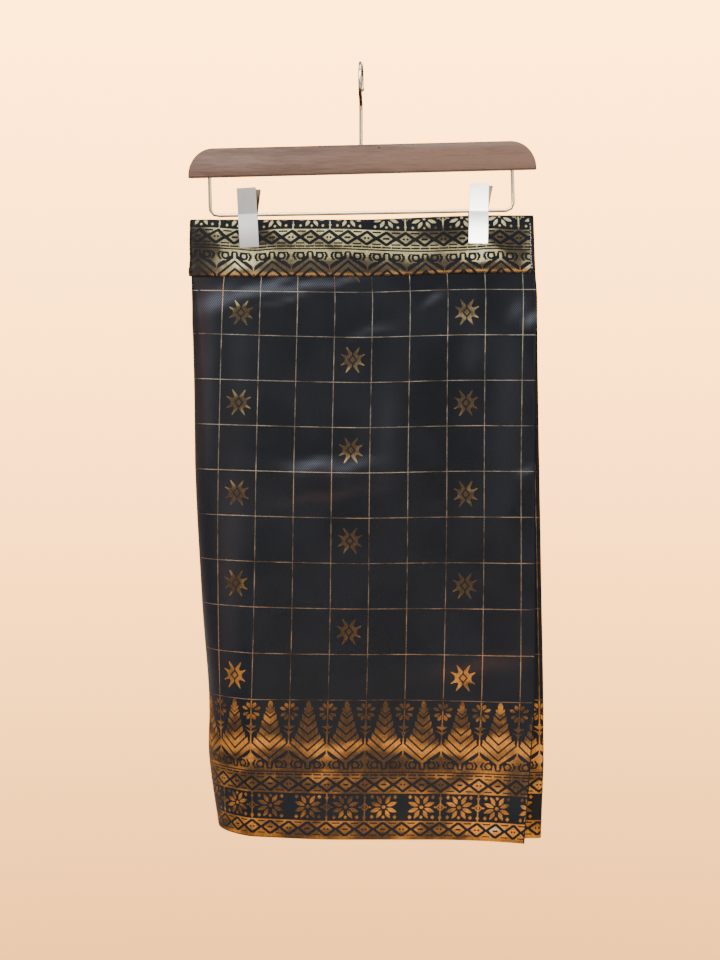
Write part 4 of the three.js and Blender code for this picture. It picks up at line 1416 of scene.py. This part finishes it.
class SAMPIN_OT_waistband(bpy.types.Operator):
    """Folds the waistband over the cloth's top edge, weaves its gold and stitches its end."""

    bl_idname = "sampin.waistband"
    bl_label = "Waistband"

    def execute(self, context):
        settings = context.scene.sampin_band
        gold = context.scene.sampin_gold
        rng = np.random.default_rng(context.scene.sampin_cloth.seed + 1)
        crown = BAND_CROWN - math.pi * BAND_PLY
        under = (BAND_FOOT + travel for travel in BAND_UNDER)
        travel = spaced((crown - BAND_REVERSE, crown, BAND_CROWN, BAND_FOOT, *under), (9, 9, 34, 10, 4))[None, :]
        along = spaced((0.4, *WAIST_ROLL, BAND_REACH), (150, 22, 110))[:, None]
        mesh = grid_mesh("waistband", on_band(along, travel, 0.0), band_map(along, travel))
        material = ground_material(context.scene.sampin_cloth)
        band = new_piece(mesh, material, "waistband", "waistband_front", "waistband_back")
        solidify(band, settings.thickness)
        face = settings.thickness / MM / 2
        floats = cut_floats(band_floats(), *BAND_ENDS, rng)
        mesh = float_mesh("gold_band", on_band, band_map, band_glow, floats, face)
        material = gold_material("Gold band", (gold.hem, gold.middle, gold.waist), BAND_GOLD)
        weave = new_piece(mesh, material, "waistband")
        mesh = float_mesh("end_stitches", on_band, band_map, band_glow, stitch_floats(rng), face + 0.2)
        stitches = new_piece(mesh, thread_material("Cream thread", tuple(settings.stitch)), "waistband")
        return {"FINISHED"}


def smooth_copy(node, name, material, slot, edge_radius=0.0, sharp=38.0):
    """A copy of a CAD node with its corners merged and its curved faces smooth, in place of the node."""
    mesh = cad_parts[node].data.copy()
    mesh.name = name
    form = bmesh.new()
    form.from_mesh(mesh)
    bmesh.ops.remove_doubles(form, verts=form.verts, dist=2e-6)
    bmesh.ops.dissolve_limit(form, angle_limit=math.radians(0.4), verts=form.verts, edges=form.edges)
    form.to_mesh(mesh)
    form.free()
    mesh.polygons.foreach_set("use_smooth", np.ones(len(mesh.polygons), dtype=bool))
    mesh.set_sharp_from_angle(angle=math.radians(sharp))
    piece = new_piece(mesh, material, slot, node)
    if edge_radius:
        rounding = piece.modifiers.new("Edges", "BEVEL")
        rounding.width, rounding.segments, rounding.limit_method = edge_radius, 2, "ANGLE"
        rounding.angle_limit = math.radians(sharp)
        rounding.harden_normals = True
    return piece


def twist(piece, degrees, depth, level, reach):
    """Turns a clip's plate about an upright line at a depth, from nothing at a level to all of it a reach above."""
    place = np.empty(len(piece.data.vertices) * 3)
    piece.data.vertices.foreach_get("co", place)
    place = place.reshape(-1, 3)
    angle = -np.radians(degrees) * ramp(place[:, 2], level, level + reach)
    x, y = place[:, 0] - (place[:, 0].min() + place[:, 0].max()) / 2, place[:, 1] - depth
    place[:, 0] += x * (np.cos(angle) - 1) - y * np.sin(angle)
    place[:, 1] = depth + x * np.sin(angle) + y * np.cos(angle)
    piece.data.vertices.foreach_set("co", place.ravel())


def tube_mesh(name, centre, radius, sides):
    """A round wire along a line of points: a circle of this radius square to the line at each of them."""
    ahead = np.gradient(centre, axis=0)
    ahead /= np.linalg.norm(ahead, axis=1, keepdims=True)
    guide = np.array([0.0, 0.31, 0.95])
    first = np.cross(ahead, guide)
    first /= np.linalg.norm(first, axis=1, keepdims=True)
    second = np.cross(ahead, first)
    turn = np.linspace(0, 2 * math.pi, sides, endpoint=False)[None, :, None]
    ring = first[:, None] * np.cos(turn) + second[:, None] * np.sin(turn)
    taper = np.ones(len(centre))
    taper[[0, -1]] = 0.05
    return grid_mesh(name, centre[:, None] + ring * (radius * taper)[:, None, None], closed_across=True, caps=2)


class SAMPIN_OT_hanger(bpy.types.Operator):
    """Finishes the hanger: the wooden bar with its nail, the wire hook and the clip rail."""

    bl_idname = "sampin.hanger"
    bl_label = "Hanger"

    def execute(self, context):
        # The last colour is painted shade on the wire's sides and underside.
        gold = metal_material(
            "Pale gold wire", (0.93, 0.80, 0.58), 0.16, 0.04, (900.0, 900.0, 900.0), painted_shade=(0.09, 0.045, 0.022)
        )
        wood = wood_material(context.scene.sampin_hanger)
        smooth_copy("hanger_bar", "bar", wood, "wood", sharp=50.0)
        smooth_copy("hanger_hook", "hook", gold, "pale_gold", sharp=60.0)
        smooth_copy("clip_rail", "rail", gold, "pale_gold", sharp=60.0)
        self.nail(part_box("hanger_bar")[0][1] / MM)
        return {"FINISHED"}

    def nail(self, front):
        """A flat round nail head on the bar's front: rings that close in as they rise."""
        ring = np.linspace(0, 2 * math.pi, 24, endpoint=False)[None, :]
        radius, out = np.array([[1.05, 0.95, 0.6, 0.02], [0.0, 0.14, 0.2, 0.22]])[:, :, None]
        x, z = (place / MM for place in NAIL_PLACE)
        places = (x + radius * np.cos(ring), front + 0.05 - out, z + radius * np.sin(ring))
        points = np.stack(np.broadcast_arrays(*places), axis=-1)
        steel = metal_material("Dark nail", (0.10, 0.08, 0.07), 0.42, 0.06, (400.0, 400.0, 400.0))
        new_piece(grid_mesh("bar_nail", points, closed_across=True, caps=2), steel, "satin_steel")


class SAMPIN_OT_clips(bpy.types.Operator):
    """Finishes the two clips: their plates with eased edges, and the coil spring between the plates."""

    bl_idname = "sampin.clips"
    bl_label = "Clips"

    def execute(self, context):
        settings = context.scene.sampin_hanger
        # The last colour is painted shade on the plates' sides and undersides, and on the back plate's face towards
        # the cloth.
        satin = (0.80, 0.79, 0.75), 0.34, 0.08, (1600.0, 1600.0, 30.0), (0.11, 0.085, 0.06)
        faces = {
            "front": metal_material("Satin steel", *satin),
            "back": metal_material("Satin steel behind", *satin, inner=True),
        }
        wire = metal_material("Spring wire", (0.70, 0.69, 0.67), 0.26, 0.04, (700.0, 700.0, 700.0))
        for side in ("left", "right"):
            depth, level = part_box(f"clip_{side}_front_plate")[0][1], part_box(f"clip_{side}_spring")[1][2]
            for plate, steel in faces.items():
                node = f"clip_{side}_{plate}_plate"
                piece = smooth_copy(node, f"{side}_{plate}_plate", steel, "satin_steel", settings.edge_radius)
                twist(piece, CLIP_TWIST[side], depth, level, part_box(node)[1][2] - level)
            self.coil(side, wire, settings.coil_wire / MM)
        return {"FINISHED"}

    def coil(self, side, material, wire):
        """Eleven and a quarter turns of wire round the rail: (x, r cos a, r sin a), x even in a."""
        low, high = (Vector(corner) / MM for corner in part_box(f"clip_{side}_spring"))
        centre, half = (low + high) / 2, (high.x - low.x) / 2 - wire / 2
        radius = (high.z - low.z) / 2 - wire / 2 - 0.15
        turns = 11.25
        angle = np.linspace(0, 2 * math.pi * turns, 300)
        x = centre.x - half + 2 * half * angle / angle[-1]
        points = np.stack([x, centre.y - radius * np.cos(angle), centre.z + radius * np.sin(angle)], axis=1)
        mesh = tube_mesh(f"{side}_spring", points, wire / 2, 8)
        new_piece(mesh, material, "satin_steel", f"clip_{side}_spring")


class SAMPIN_OT_stage(bpy.types.Operator):
    """Sets the plain studio round the object: a floor that curves up into a wall, and soft lights."""

    bl_idname = "sampin.stage"
    bl_label = "Studio"

    def execute(self, context):
        settings = context.scene.sampin_stage
        turn = np.linspace(0, 2 * math.pi, 96, endpoint=False)[None, :]
        bend = np.radians(np.linspace(0, 90, 24))
        radius = np.concatenate([[0.01, 0.8], 1.6 + 1.8 * np.sin(bend), [3.4, 3.4]])[:, None]
        rise = np.concatenate([[0, 0], 1.8 - 1.8 * np.cos(bend), [2.6, 4.2]])[:, None]
        x, y, z = np.broadcast_arrays(radius * np.cos(turn), radius * np.sin(turn), rise + settings.floor)
        mesh = grid_mesh("studio", np.stack([x, y, z], axis=-1) / MM, closed_across=True, caps=1)
        mesh.materials.append(stage_material(settings))
        studio = bpy.data.objects.new("studio", mesh)
        context.scene.collection.objects.link(studio)
        for lamp in LAMPS:
            self.lamp(context.scene, *lamp)
        world = bpy.data.worlds.new("Studio air")
        world.use_nodes = True
        air = world.node_tree.nodes["Background"].inputs
        air["Color"].default_value, air["Strength"].default_value = (0.94, 0.97, 1.0, 1), 0.35
        context.scene.world = world
        return {"FINISHED"}

    def lamp(self, scene, name, place, target, size, power, colour):
        """A rectangular light at a place, turned to a target. A card lights only its own pieces."""
        light = bpy.data.lights.new(name, "AREA")
        light.shape, light.size, light.size_y = "RECTANGLE", size[0], size[1]
        light.energy, light.color = power, colour
        lamp = bpy.data.objects.new(name, light)
        lamp.location = place
        lamp.rotation_euler = (Vector(target) - Vector(place)).to_track_quat("-Z", "Y").to_euler()
        lamp.visible_camera = False
        scene.collection.objects.link(lamp)
        if name in CARD_PIECES:
            lit = bpy.data.collections.new(name + " falls on")
            for piece in CARD_PIECES[name]:
                lit.objects.link(bpy.data.objects[piece])
            lamp.light_linking.receiver_collection = lit


class SAMPIN_PT_panel(bpy.types.Panel):
    """Lists the sampin's settings, and its pieces in the order in which they are made."""

    bl_idname = "SAMPIN_PT_panel"
    bl_label = "Sampin"
    bl_space_type = "VIEW_3D"
    bl_region_type = "UI"
    bl_category = "Sampin"

    def draw(self, context):
        for group in SETTINGS:
            box = self.layout.box()
            box.label(text=group)
            settings = getattr(context.scene, group)
            for name in SETTINGS[group].__annotations__:
                box.prop(settings, name)
        for step in STEPS:
            self.layout.operator(step.bl_idname)


STEPS = (
    SAMPIN_OT_camera,
    SAMPIN_OT_cloth,
    SAMPIN_OT_gold,
    SAMPIN_OT_waistband,
    SAMPIN_OT_hanger,
    SAMPIN_OT_clips,
    SAMPIN_OT_stage,
)
SETTINGS = {
    "sampin_cloth": SampinClothSettings,
    "sampin_gold": SampinGoldSettings,
    "sampin_band": SampinBandSettings,
    "sampin_hanger": SampinHangerSettings,
    "sampin_stage": SampinStageSettings,
}
CLASSES = (*SETTINGS.values(), *STEPS, SAMPIN_PT_panel)


def register():
    for kind in CLASSES:
        bpy.utils.register_class(kind)
    for name, kind in SETTINGS.items():
        setattr(bpy.types.Scene, name, PointerProperty(type=kind))


def unregister():
    for name in SETTINGS:
        delattr(bpy.types.Scene, name)
    for kind in reversed(CLASSES):
        bpy.utils.unregister_class(kind)


def main():
    register()
    bpy.ops.sampin.camera()
    bpy.ops.sampin.cloth()
    bpy.ops.sampin.gold()
    bpy.ops.sampin.waistband()
    bpy.ops.sampin.hanger()
    bpy.ops.sampin.clips()
    bpy.ops.sampin.stage()


if __name__ == "__main__":
    main()
